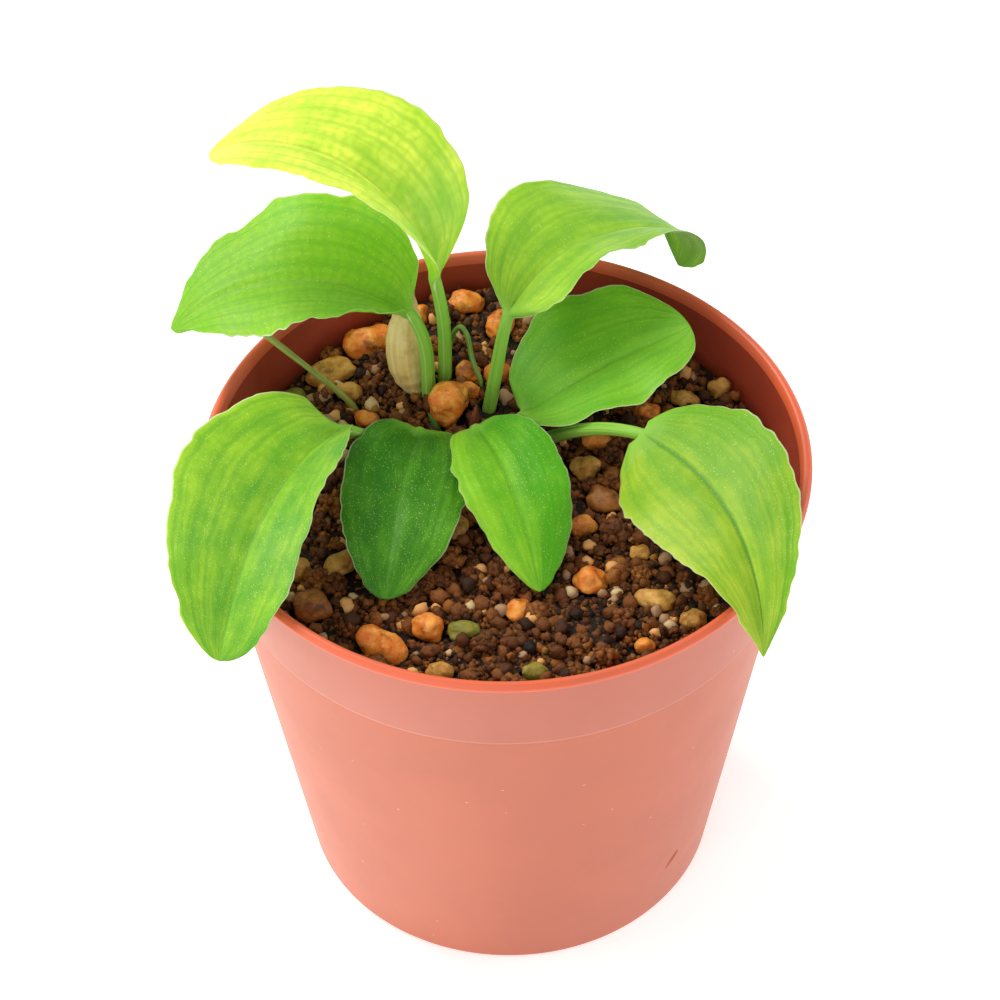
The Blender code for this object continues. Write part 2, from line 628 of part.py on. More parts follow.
def make_rhizome():
    """The creeping stem under the stalks' feet, and the pocket that it lies in."""
    x, y = RHIZOME_CENTRE
    top = stalk_foot_height() - RHIZOME_CLEARANCE
    centre = Vector((x, y, top - RHIZOME_HEIGHT / 2))
    sizes = Vector((RHIZOME_LENGTH, RHIZOME_WIDTH, RHIZOME_HEIGHT))
    finish = material("rhizome_skin", (0.35, 0.22, 0.10), 0.7)
    rhizome = lump("rhizome", centre, sizes, RHIZOME_TURN, finish, RHIZOME_LUMPS, RHIZOME_SEED)
    wider = sizes + Vector((1, 1, 1)) * 4 * GAP
    pocket = lump("rhizome_pocket", centre, wider, RHIZOME_TURN, finish, RHIZOME_LUMPS, RHIZOME_SEED)
    return rhizome, as_cutter(pocket)


def spindle(name, path, outline, radius, finish, sides, extra=0.0):
    """A tapering body along a path, as wide at each share as its outline says, plus an extra."""
    return tube(name, path, [width * radius + extra for _, width in outline], finish, sides)


def bowed(foot, tip, bow, share):
    """A point at a share of the way from foot to tip, on a line that bows sideways."""
    return foot.lerp(tip, share) + bow * 4 * share * (1 - share)


def make_sheath():
    """The papery bulb coat: narrow at its foot, swollen in its middle, drawn in at its top."""
    x, y = SHEATH_FOOT
    foot = Vector((x, y, mix_height(x, y) - SHEATH_BURIED))
    tip = foot + Vector((*SHEATH_LEAN, SHEATH_HEIGHT))
    bow = Vector((*SHEATH_BOW, 0))
    path = [bowed(foot, tip, bow, share) for share, _ in SHEATH_OUTLINE]
    finish = material("papery_sheath_skin", (0.70, 0.55, 0.28), 0.5)
    sheath = spindle("papery_sheath", path, SHEATH_OUTLINE, SHEATH_RADIUS, finish, SHEATH_SIDES)
    low = SHEATH_OUTLINE[:4]
    path = [path[0] - (path[1] - path[0]).normalized() * SOCKET_DEPTH, *path[1:4]]
    socket = spindle("sheath_socket", path, low, SHEATH_RADIUS, finish, SHEATH_SIDES, SOCKET_GROWTH)
    return sheath, as_cutter(socket)


def make_spike(name, foot_xy, height, radius, lean, colour):
    """A small pointed bud or shoot tip standing in the mix, and its socket."""
    x, y = foot_xy
    foot = Vector((x, y, mix_height(x, y) - SPIKE_BURIED))
    tip = foot + Vector((*lean, height))
    path = [foot.lerp(tip, share) for share, _ in SPIKE_OUTLINE]
    finish = material(name + "_skin", colour, 0.5)
    spike = spindle(name, path, SPIKE_OUTLINE, radius, finish, SPIKE_SIDES)
    low = SPIKE_OUTLINE[:3]
    path = [foot - (tip - foot).normalized() * SOCKET_DEPTH, *path[1:3]]
    socket = spindle(name + "_socket", path, low, radius, finish, SPIKE_SIDES, SOCKET_GROWTH)
    return spike, as_cutter(socket)


def make_runner(name, points, radius, colour, ends_buried):
    """A thin stalk or root along a path, and the sockets where its ends enter the mix."""
    level = POT_HEIGHT - MIX_DEPTH_BELOW_RIM
    knots = [(x * LAYOUT_MM, y * LAYOUT_MM, level + z * MM) for x, y, z in points]
    path = smooth_path(knots, RUNNER_STEPS)
    finish = material(name + "_skin", colour, 0.5)
    tube(name, path, [radius] * len(path), finish, RUNNER_SIDES)
    sockets = []
    ends = [(path[0], path[1]), (path[-1], path[-2])][:ends_buried]
    for i, (end, inner) in enumerate(ends):
        out = (end - inner).normalized()
        wide = (radius + GAP) / cos(pi / RUNNER_SIDES) + GAP / 2
        run = [end + out * SOCKET_DEPTH, inner, inner - out * RUNNER_SOCKET_LENGTH]
        socket = tube(f"{name}_socket_{i}", run, [wide] * len(run), finish, RUNNER_SIDES)
        sockets.append(as_cutter(socket))
    return sockets


# ---- pumice ----------------------------------------------------------------------------------------
def make_pocket(name, stone, centre, finish):
    """The hollow that a stone has pressed into the mix: an oval cup with a flat floor."""
    cup = bmesh.new()
    depth = stone.height * MM
    bmesh.ops.create_cone(cup, cap_ends=True, segments=STONE_POCKET_SIDES, depth=depth + 2 * GAP,
                          radius1=STONE_POCKET_FLOOR / 2, radius2=STONE_POCKET_GROWTH / 2)
    stretch = Matrix.Diagonal((stone.length * MM, stone.width * MM, 1, 1))
    place = Matrix.Translation(centre) @ Matrix.Rotation(radians(stone.turn), 4, "Z") @ stretch
    bmesh.ops.transform(cup, matrix=place, verts=cup.verts)
    return as_cutter(add_object(name + "_pocket", cup, finish))


def make_stone(index, stone):
    """One pumice stone and its pocket."""
    x, y = stone.x * LAYOUT_MM, stone.y * LAYOUT_MM
    sizes = (stone.length * MM, stone.width * MM, stone.height * MM)
    lift = sizes[2] * (0.5 - STONE_SINK) + stone.lift * MM
    centre = Vector((x, y, mix_height(x, y) + lift))
    name = f"pumice_{index:02d}"
    finish = material(name + "_" + stone.tone, TONES[stone.tone], 0.85)
    rock = lump(name, centre, sizes, stone.turn, finish, STONE_LUMPS, index)
    return rock, make_pocket(name, stone, centre, finish)


# ---- the whole plant -------------------------------------------------------------------------------
def main():
    clear_scene()
    make_pot()
    mix = make_mix()
    cutters = []
    for leaf in LEAVES:
        make_leaf(leaf)
        cutters.append(stalk_socket(leaf))
    bud = ("bud_scale", BUD_FOOT, BUD_HEIGHT, BUD_RADIUS, BUD_LEAN, (0.35, 0.12, 0.06))
    shoot = ("shoot_tip", SHOOT_FOOT, SHOOT_HEIGHT, SHOOT_RADIUS, SHOOT_LEAN, (0.10, 0.25, 0.06))
    pieces = [make_rhizome(), make_sheath(), make_spike(*bud), make_spike(*shoot)]
    pieces += [make_stone(index, stone) for index, stone in enumerate(STONES, start=1)]
    cutters += [cutter for _, cutter in pieces]
    cutters += make_runner("old_stalk", OLD_STALK_PATH, OLD_STALK_RADIUS, (0.35, 0.40, 0.12), 1)
    cutters += make_runner("aerial_root", ROOT_PATH, ROOT_RADIUS, (0.25, 0.40, 0.12), 2)
    for cutter in cutters:
        cut(mix, cutter)


main()
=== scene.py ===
"""Looks of a small foliage plant in a moulded plastic nursery pot.

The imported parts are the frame, and every piece here stands where its part stands: eight stalked
leaves with ribs and veins, pumice stones, thousands of crumbs of potting mix, the papery sheath,
the small shoots and the thin-walled pot. Lengths are metres, unless a name ends in _mm.
"""

import json
import logging
from collections.abc import Callable
from dataclasses import dataclass, field
from enum import Enum
from math import cos, exp, pi, radians, sin, sqrt
from typing import NamedTuple

import bmesh
import bpy
import numpy as np
from bpy.types import Material, Node, NodeSocket as Socket, NodeTree as Tree
from mathutils import Matrix, Vector, noise
from mathutils.bvhtree import BVHTree


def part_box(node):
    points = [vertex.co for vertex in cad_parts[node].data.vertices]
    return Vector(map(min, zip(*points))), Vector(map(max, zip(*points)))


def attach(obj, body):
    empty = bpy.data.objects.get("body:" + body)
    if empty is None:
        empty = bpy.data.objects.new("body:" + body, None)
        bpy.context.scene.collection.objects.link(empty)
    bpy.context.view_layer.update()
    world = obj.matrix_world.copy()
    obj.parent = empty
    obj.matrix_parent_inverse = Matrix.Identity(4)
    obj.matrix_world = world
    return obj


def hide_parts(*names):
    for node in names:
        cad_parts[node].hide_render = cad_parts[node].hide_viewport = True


BMesh = bmesh.types.BMesh

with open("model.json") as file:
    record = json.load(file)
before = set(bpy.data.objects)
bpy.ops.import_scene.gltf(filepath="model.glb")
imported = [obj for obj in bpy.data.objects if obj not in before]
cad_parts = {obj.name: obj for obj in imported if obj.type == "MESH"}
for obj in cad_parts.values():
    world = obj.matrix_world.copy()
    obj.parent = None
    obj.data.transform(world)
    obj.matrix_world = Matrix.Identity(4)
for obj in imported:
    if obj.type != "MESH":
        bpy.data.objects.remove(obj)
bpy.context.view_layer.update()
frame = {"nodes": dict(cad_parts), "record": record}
LOG = logging.getLogger("potted_plant")

MM = 0.001
BODY = "root"
SEED = 7
SMALL = 1e-4
WELD = 1e-7  # points of a skin that lie closer than this are one
UV_NAME = "skin_mm"
MIX_A, MIX_B, MIX_OUT = 6, 7, 2  # the colour sockets of a Mix node


# ---- shared tools ------------------------------------------------------------------------------
def linear(code: str) -> tuple[float, float, float, float]:
    """Turns an sRGB hex colour into linear red, green, blue and alpha.

    Args:
        code: A colour such as "#e0836b".

    Returns:
        Four numbers from 0 to 1.
    """
    channels = [int(code[i:i + 2], 16) / 255 for i in (1, 3, 5)]
    return (*(c / 12.92 if c <= 0.04045 else ((c + 0.055) / 1.055) ** 2.4 for c in channels), 1.0)


def add_node(tree: Tree, kind: str, inputs: dict | None = None,
             ramp: list | None = None, **settings) -> Node:
    """Adds one node to a material, with its settings, values and links.

    Args:
        tree: The material's node tree.
        kind: The node's type, without "ShaderNode".
        inputs: For each input, by name or number, a value or another node's output.
        ramp: For a colour ramp, its (place, hex colour) stops.
        **settings: The node's own properties.

    Returns:
        The new node.
    """
    node = tree.nodes.new("ShaderNode" + kind)
    for name, value in settings.items():
        setattr(node, name, value)
    if ramp:
        stops = node.color_ramp.elements
        while len(stops) < len(ramp):
            stops.new(1.0)
        for stop, (place, code) in zip(stops, ramp):
            stop.position = place
            stop.color = linear(code)
    set_inputs(tree, node, inputs or {})
    return node


def new_material(name: str) -> tuple[Material, Tree, Node]:
    """Makes a material.

    Args:
        name: The real material's name.

    Returns:
        The material, its node tree and its Principled node.
    """
    made = bpy.data.materials.new(name)
    made.use_nodes = True
    return made, made.node_tree, made.node_tree.nodes["Principled BSDF"]


def set_inputs(tree: Tree, node: Node, inputs: dict) -> None:
    """Sets or links inputs of a node that is already there.

    Args:
        tree: The material's node tree.
        node: The node.
        inputs: For each input, a value or another node's output.
    """
    for name, value in inputs.items():
        if isinstance(value, Socket):
            tree.links.new(value, node.inputs[name])
        else:
            node.inputs[name].default_value = value


def layered(tree: Tree, base: Socket | str, *layers: tuple[Socket, Socket | str]) -> Socket:
    """Lays colours over one another, each as thickly as its share says.

    Args:
        tree: The material's node tree.
        base: The lowest colour, another node's output or a hex colour.
        *layers: Each layer's share and colour, from the lowest up.

    Returns:
        The colour that shows.
    """
    for share, colour in layers:
        base, colour = (linear(c) if isinstance(c, str) else c for c in (base, colour))
        base = add_node(tree, "Mix", {0: share, MIX_A: base, MIX_B: colour},
                        data_type="RGBA").outputs[MIX_OUT]
    return base


def eased(x: float) -> float:
    """A smooth step from 0 to 1."""
    x = min(max(x, 0.0), 1.0)
    return x * x * (3 - 2 * x)


def direction(heading: float, rise: float) -> Vector:
    """The unit vector of a heading from +X and a rise above level, in degrees."""
    h, r = radians(heading), radians(rise)
    return Vector((cos(r) * cos(h), cos(r) * sin(h), sin(r)))


class SkinPoint(NamedTuple):
    """A point of a skin: its place, its two coordinates along the surface and two masks."""

    at: Vector
    u_mm: float
    v_mm: float
    edge: float
    blade: float


def sleeve(around: int, along: int, place: Callable[[float, float], SkinPoint]) -> BMesh:
    """Rolls a grid up into a closed skin, with its seam and its ends shut.

    Args:
        around: Faces round the skin.
        along: Faces from one end to the other.
        place: Gives the point at a share of the way round and a share of the way along.

    Returns:
        The skin, with its surface coordinates as a UV map and its masks as layers.
    """
    skin = bmesh.new()
    bmesh.ops.create_grid(skin, x_segments=around, y_segments=along, size=0.5)
    layers = {name: skin.verts.layers.float.new(name) for name in ("u_mm", "v_mm", "edge", "blade")}
    for vert in skin.verts:
        point = place(vert.co.x + 0.5, vert.co.y + 0.5)
        vert.co = point.at
        for name, layer in layers.items():
            vert[layer] = getattr(point, name)
    bmesh.ops.remove_doubles(skin, verts=skin.verts, dist=WELD)
    rims = [edge for edge in skin.edges if edge.is_boundary]
    bmesh.ops.holes_fill(skin, edges=rims, sides=0)
    bmesh.ops.recalc_face_normals(skin, faces=skin.faces)
    chart = skin.loops.layers.uv.new(UV_NAME)
    for face in skin.faces:
        for loop in face.loops:
            loop[chart].uv = (loop.vert[layers["u_mm"]], loop.vert[layers["v_mm"]])
    return skin


def add_piece(name: str, shape: BMesh, finish: Material, *nodes: str,
              slot: str, crease_deg: float = 0.0) -> bpy.types.Object:
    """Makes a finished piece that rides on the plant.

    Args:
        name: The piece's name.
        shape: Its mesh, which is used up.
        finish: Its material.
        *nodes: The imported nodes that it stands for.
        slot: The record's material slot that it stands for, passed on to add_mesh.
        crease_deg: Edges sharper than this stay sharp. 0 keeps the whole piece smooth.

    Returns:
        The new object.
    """
    mesh = bpy.data.meshes.new(name)
    shape.to_mesh(mesh)
    shape.free()
    mesh.shade_smooth()
    if crease_deg:
        mesh.set_sharp_from_angle(angle=radians(crease_deg))
    return add_mesh(name, mesh, finish, *nodes, slot=slot)


def add_mesh(name: str, mesh: bpy.types.Mesh, finish: Material, *nodes: str,
             slot: str) -> bpy.types.Object:
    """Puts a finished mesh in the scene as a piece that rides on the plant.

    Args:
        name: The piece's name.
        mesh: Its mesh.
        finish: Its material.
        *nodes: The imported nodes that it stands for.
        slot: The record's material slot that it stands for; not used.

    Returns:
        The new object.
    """
    mesh.materials.append(finish)
    piece = bpy.data.objects.new(name, mesh)
    bpy.context.scene.collection.objects.link(piece)
    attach(piece, BODY)
    if nodes:
        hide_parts(*nodes)
    LOG.info("%s: %d faces", name, len(mesh.polygons))
    return piece


# ---- studio --------------------------------------------------------------------------------------
@dataclass
class Studio:
    """A white table under soft light, and the camera that looks down on the plant."""

    camera_distance: float = 0.59805
    camera_elevation_deg: float = 51.11
    pan_deg: float = -0.10
    tilt_deg: float = -4.65
    roll_deg: float = 0.70
    lens_mm: float = 131.9
    floor_size: float = 8.0
    floor_glow: float = 0.40  # the table is lit from below as well
    floor_colour: str = "#fbfbfb"
    sky_strength: float = 0.56
    white: str = "#ffffff"

    def build(self) -> None:
        """Makes the camera, the lights and the table."""
        self.add_camera()
        self.add_sky()
        self.add_lamp("key_softbox", (-0.42, 0.34, 0.72), 0.45, 5.4, "#fffaf0")
        self.add_lamp("front_softbox", (-0.30, -0.85, 0.55), 0.70, 3.0, self.white)
        self.add_lamp("left_softbox", (-0.90, -0.10, 0.20), 0.45, 2.6, self.white)
        self.add_lamp("right_softbox", (0.90, 0.05, 0.22), 0.45, 2.8, self.white)
        self.add_floor()

    def add_camera(self) -> None:
        """Adds the camera on its line of sight to the plant's foot."""
        lens = bpy.data.cameras.new("camera")
        lens.lens = self.lens_mm
        lens.clip_start = 0.01
        camera = bpy.data.objects.new("camera", lens)
        rise = radians(self.camera_elevation_deg)
        ahead = Vector((0, cos(rise), -sin(rise)))
        right = Vector((1, 0, 0))
        level = Matrix((right, right.cross(ahead), -ahead))
        turned = (Matrix.Rotation(radians(self.roll_deg), 3, "Z")
                  @ Matrix.Rotation(radians(self.tilt_deg), 3, "X")
                  @ Matrix.Rotation(radians(self.pan_deg), 3, "Y") @ level)
        place = Matrix.Translation(-ahead * self.camera_distance)
        camera.matrix_world = place @ turned.transposed().to_4x4()
        bpy.context.scene.collection.objects.link(camera)
        bpy.context.scene.camera = camera
        bpy.context.scene.view_settings.view_transform = "Standard"

    def add_sky(self) -> None:
        """Adds the even white light all round."""
        sky = bpy.data.worlds.new("white_studio")
        sky.use_nodes = True
        background = sky.node_tree.nodes["Background"]
        background.inputs["Color"].default_value = linear(self.white)
        background.inputs["Strength"].default_value = self.sky_strength
        bpy.context.scene.world = sky

    def add_lamp(self, name: str, place: tuple, size: float, watts: float, colour: str) -> None:
        """Adds a square softbox that faces the plant.

        Args:
            name: The lamp's name.
            place: Where it hangs.
            size: The length of its side.
            watts: Its power.
            colour: Its sRGB hex colour.
        """
        light = bpy.data.lights.new(name, "AREA")
        light.size = size
        light.energy = watts
        light.color = linear(colour)[:3]
        lamp = bpy.data.objects.new(name, light)
        lamp.location = place
        low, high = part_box("pot")
        centre = (low + high) / 2
        lamp.rotation_euler = (centre - lamp.location).to_track_quat("-Z", "Y").to_euler()
        bpy.context.scene.collection.objects.link(lamp)

    def add_floor(self) -> None:
        """Adds the white table top."""
        sheet = bmesh.new()
        bmesh.ops.create_grid(sheet, x_segments=1, y_segments=1, size=self.floor_size / 2)
        mesh = bpy.data.meshes.new("table_top")
        sheet.to_mesh(mesh)
        sheet.free()
        laminate, tree, shader = new_material("white_laminate")
        set_inputs(tree, shader, {"Base Color": linear(self.floor_colour), "Roughness": 0.6,
                                  "Emission Color": linear(self.white),
                                  "Emission Strength": self.floor_glow})
        mesh.materials.append(laminate)
        table = bpy.data.objects.new("table_top", mesh)
        bpy.context.scene.collection.objects.link(table)


# ---- pot -----------------------------------------------------------------------------------------
@dataclass(frozen=True)
class PotPlastic:
    """Injection-moulded polypropylene, terracotta-coloured: waxy, satin, with handling marks, and a pale line
    of painted highlight along the collar's edge.
    """

    body: str = "#c0684c"
    collar: str = "#bb654e"
    lip: str = "#e2643c"
    crease: str = "#dc9a84"
    stain: str = "#b06650"
    scuff: str = "#e0ac98"
    cloud_mm: float = 14.0
    crease_mm: float = 0.16  # half the width of the pale line over the collar's edge, a painted highlight where the edge catches the light
    nick_cell_mm: float = 5.5  # one nick may be in each cell
    nick_radius: float = 0.045  # as a share of its cell
    nick_rarity: float = 0.75
    grain_mm: float = 0.5

    def build(self, name: str, collar_low: float, lip_low: float) -> Material:
        """Makes the material.

        Args:
            name: The material's name.
            collar_low: Height above which the plastic is the collar's greyer tone.
            lip_low: Height above which it is the lip's redder tone.

        Returns:
            The material.
        """
        made, tree, shader = new_material(name)
        place = add_node(tree, "TexCoord").outputs["Object"]
        height = add_node(tree, "SeparateXYZ", {0: place}).outputs["Z"]
        on_collar = add_node(tree, "MapRange", {
            "Value": height, "From Min": collar_low - 0.4 * MM, "From Max": collar_low + 0.4 * MM}).outputs[0]
        on_lip = add_node(tree, "Math", {0: height, 1: lip_low}, operation="GREATER_THAN").outputs[0]
        # a pale line painted along the collar's edge: painted highlight, where the edge catches the light
        on_crease = add_node(tree, "Math", {0: height, 1: collar_low + 0.75 * MM, 2: self.crease_mm * MM},
                             operation="COMPARE").outputs[0]
        painted_highlight_share = add_node(tree, "Math", {0: on_crease, 1: 0.4}, operation="MULTIPLY").outputs[0]
        cloudy = add_node(tree, "TexNoise", {"Vector": place, "Scale": 1 / (self.cloud_mm * MM),
                                             "Detail": 4.0, "Roughness": 0.6}).outputs["Fac"]
        stained = add_node(tree, "MapRange", {"Value": cloudy, "From Min": 0.35, "From Max": 0.75,
                                              "To Max": 0.45}).outputs[0]
        colour = layered(tree, self.body, (on_collar, self.collar), (on_lip, self.lip),
                         (painted_highlight_share, self.crease), (stained, self.stain), (self.nicks(tree, place), self.scuff))
        grain = add_node(tree, "TexNoise", {"Vector": place, "Scale": 1 / (self.grain_mm * MM),
                                            "Detail": 3.0})
        uneven = add_node(tree, "MapRange", {"Value": cloudy, "To Min": 0.36, "To Max": 0.52}).outputs[0]
        relief = add_node(tree, "Bump", {"Height": grain.outputs["Fac"], "Strength": 0.25,
                                         "Distance": 0.02 * MM}).outputs[0]
        set_inputs(tree, shader, {"Base Color": colour, "Roughness": uneven, "Normal": relief, "IOR": 1.49,
                                  "Subsurface Weight": 0.12, "Subsurface Scale": 0.6 * MM,
                                  "Subsurface Radius": (1.0, 0.35, 0.2)})
        return made

    def nicks(self, tree: Tree, place: Socket) -> Socket:
        """The few pale nicks, 1 on a nick.

        Args:
            tree: The material's node tree.
            place: The object coordinates.

        Returns:
            How much of a nick each point is.
        """
        stretched = add_node(tree, "Mapping", {"Vector": place, "Scale": (1.0, 1.0, 3.0)}).outputs[0]
        cells = add_node(tree, "TexVoronoi", {"Vector": stretched, "Scale": 1 / (self.nick_cell_mm * MM)})
        near = add_node(tree, "Math", {0: cells.outputs["Distance"], 1: self.nick_radius},
                        operation="LESS_THAN").outputs[0]
        drawn = add_node(tree, "SeparateColor", {0: cells.outputs["Color"]}).outputs["Red"]
        rare = add_node(tree, "Math", {0: drawn, 1: self.nick_rarity}, operation="GREATER_THAN").outputs[0]
        return add_node(tree, "Math", {0: near, 1: rare}, operation="MULTIPLY").outputs[0]


@dataclass
class Pot:
    """The thin pot: rolled lip, tapering collar, conical body, drained base."""

    height: float = 80 * MM
    rim_radius: float = 45 * MM
    base_radius: float = 32.2 * MM
    wall: float = 0.9 * MM
    floor: float = 1.2 * MM
    lip_depth: float = 1.6 * MM
    lip_overhang: float = 0.7 * MM
    lip_groove: float = 0.12 * MM
    lip_groove_angle: float = 0.16  # radians, seen from the middle of the rolled lip
    lip_start: float = -pi / 3  # the lip's roll, from under its outside over to its inside
    lip_end: float = 3 * pi / 4
    lip_steps: int = 14
    foot_steps: int = 6
    collar_depth: float = 16 * MM
    collar_taper: float = 1.9 * MM
    collar_step: float = 0.7 * MM
    foot_radius: float = 1.2 * MM
    sides: int = 192
    drain_holes: int = 6
    drain_diameter: float = 6 * MM
    drain_ring_radius: float = 20 * MM
    mould_mark_deg: float = -43.0
    mould_mark_height: float = 12.5 * MM
    mould_mark_lean_deg: float = -38.0
    mould_mark_half: tuple = (0.5 * MM, 0.7 * MM, 2.4 * MM)  # half its depth, width and length

    def collar_top(self) -> float:
        """Radius of the collar just under the lip."""
        return self.rim_radius - self.lip_overhang

    def waist_height(self) -> float:
        """Height at which the body meets the collar."""
        return self.height - self.collar_depth

    def body_top(self) -> float:
        """Radius of the body where the collar starts."""
        return self.collar_top() - self.collar_taper - self.collar_step

    def inner_radius(self, height: float) -> float:
        """Radius of the inside at a height above the table.

        Args:
            height: The height.

        Returns:
            The radius.
        """
        if height < self.waist_height():
            share = height / self.waist_height()
            return self.base_radius + (self.body_top() - self.base_radius) * share - self.wall
        share = (height - self.waist_height()) / self.collar_depth
        low = self.body_top() + self.collar_step
        return low + (self.collar_top() - low) * min(share, 1.0) - self.wall

    def outline(self) -> list[tuple[float, float]]:
        """Half section of the pot, as (radius, height), from under the base round to its floor.

        Returns:
            The points in order.
        """
        quarter = [pi / 2 * k / self.foot_steps for k in range(self.foot_steps + 1)]
        foot = [(self.base_radius - self.foot_radius * (1 - sin(a)), self.foot_radius * (1 - cos(a)))
                for a in quarter]
        waist = self.waist_height()
        lip_low = self.height - self.lip_depth
        bead = self.lip_depth / 2
        bead_at = (self.rim_radius - bead, self.height - bead)
        lip = []
        for k in range(self.lip_steps + 1):
            a = self.lip_start + (self.lip_end - self.lip_start) * k / self.lip_steps
            dent = self.lip_groove * exp(-((a - pi / 4) / self.lip_groove_angle) ** 2)
            lip.append((bead_at[0] + (bead - dent) * cos(a), bead_at[1] + (bead - dent) * sin(a)))
        step = self.collar_step
        return [
            (0.0, 0.0), *foot,
            (self.body_top() - 0.03 * MM, waist - 1.0 * MM),
            (self.body_top(), waist),
            (self.body_top() + step * 0.75, waist + step * 0.55),
            (self.body_top() + step, waist + step * 1.2),
            (self.collar_top(), lip_low), *lip,
            (self.inner_radius(lip_low), lip_low),
            (self.inner_radius(waist + step * 1.5), waist + step * 1.5),
            (self.inner_radius(waist - step), waist - step),
            (self.inner_radius(self.floor + self.foot_radius), self.floor + self.foot_radius),
            (self.inner_radius(self.floor) - self.foot_radius, self.floor), (0.0, self.floor),
        ]

    def build(self) -> None:
        """Turns the pot, drills its base and dresses it."""
        shell = bmesh.new()
        points = [shell.verts.new((radius, 0, height)) for radius, height in self.outline()]
        edges = [shell.edges.new(pair) for pair in zip(points, points[1:])]
        bmesh.ops.spin(shell, geom=points + edges, axis=(0, 0, 1), cent=(0, 0, 0), angle=2 * pi,
                       steps=self.sides, use_merge=True)
        bmesh.ops.remove_doubles(shell, verts=shell.verts, dist=WELD)
        bmesh.ops.recalc_face_normals(shell, faces=shell.faces)
        shell.normal_update()
        # Material 1 is painted shade: a darker, redder copy of the plastic for the inner wall below the lip
        # and the floor inside, where shade falls.
        for face in shell.faces:
            middle = face.calc_center_median()
            inward = face.normal.x * middle.x + face.normal.y * middle.y < 0
            on_floor = face.normal.z > 0.5 and middle.z < self.waist_height()
            face.material_index = int(inward and middle.z < self.height - self.lip_depth or on_floor)
        lip_low = self.height - self.lip_depth
        outside = PotPlastic().build("terracotta_polypropylene", self.waist_height(), lip_low)
        # painted shade: the copy of the plastic for inside the pot is darker and redder
        shaded = PotPlastic("#a5402a", "#a5402a", "#b04a30", "#a5402a", "#8a3422", "#b86a50")
        inside = shaded.build("terracotta_polypropylene_painted_shade", 0.0, lip_low)
        pot = add_piece("pot_shell", shell, outside, "pot", slot="pot_plastic", crease_deg=50)
        pot.data.materials.append(inside)
        self.cut(pot, self.cutters())

    def cutters(self) -> bpy.types.Object:
        """The drill for the drain holes and the sliver of the mould mark, as one cutter.

        Returns:
            The cutter.
        """
        tool = bmesh.new()
        for k in range(self.drain_holes):
            turn = Matrix.Rotation(2 * pi * k / self.drain_holes, 4, "Z")
            place = turn @ Matrix.Translation((self.drain_ring_radius, 0, self.floor / 2))
            bmesh.ops.create_cone(tool, cap_ends=True, segments=32, radius1=self.drain_diameter / 2,
                                  radius2=self.drain_diameter / 2, depth=4 * self.floor, matrix=place)
        share = self.mould_mark_height / self.waist_height()
        radius = self.base_radius + (self.body_top() - self.base_radius) * share
        place = (Matrix.Rotation(radians(self.mould_mark_deg), 4, "Z")
                 @ Matrix.Translation((radius, 0, self.mould_mark_height))
                 @ Matrix.Rotation(radians(self.mould_mark_lean_deg), 4, "X")
                 @ Matrix.Diagonal((*self.mould_mark_half, 1)))
        bmesh.ops.create_icosphere(tool, subdivisions=3, radius=1.0, matrix=place)
        mesh = bpy.data.meshes.new("pot_cutter")
        tool.to_mesh(mesh)
        tool.free()
        cutter = bpy.data.objects.new("pot_cutter", mesh)
        bpy.context.scene.collection.objects.link(cutter)
        return cutter

    @staticmethod
    def cut(pot: bpy.types.Object, cutter: bpy.types.Object) -> None:
        """Takes the cutter out of the pot for good, and removes the cutter.

        Args:
            pot: The pot.
            cutter: What is cut away.
        """
        step = pot.modifiers.new("holes", "BOOLEAN")
        step.solver = "EXACT"
        step.object = cutter
        bpy.context.view_layer.update()
        drilled = bpy.data.meshes.new_from_object(pot.evaluated_get(bpy.context.evaluated_depsgraph_get()))
        pot.modifiers.clear()
        pot.data = drilled
        bpy.data.objects.remove(cutter)


# ---- leaves --------------------------------------------------------------------------------------
class Chart(NamedTuple):
    """What a leaf's finish reads from the skin."""

    tree: Tree  # the material's node tree
    place: Socket  # the surface coordinates in mm
    across: Socket  # the first of them, from the midrib
    blade: Socket  # 0 on the stalk, 1 on the blade
    edge: Socket  # 0 at the midrib, 1 at the margin


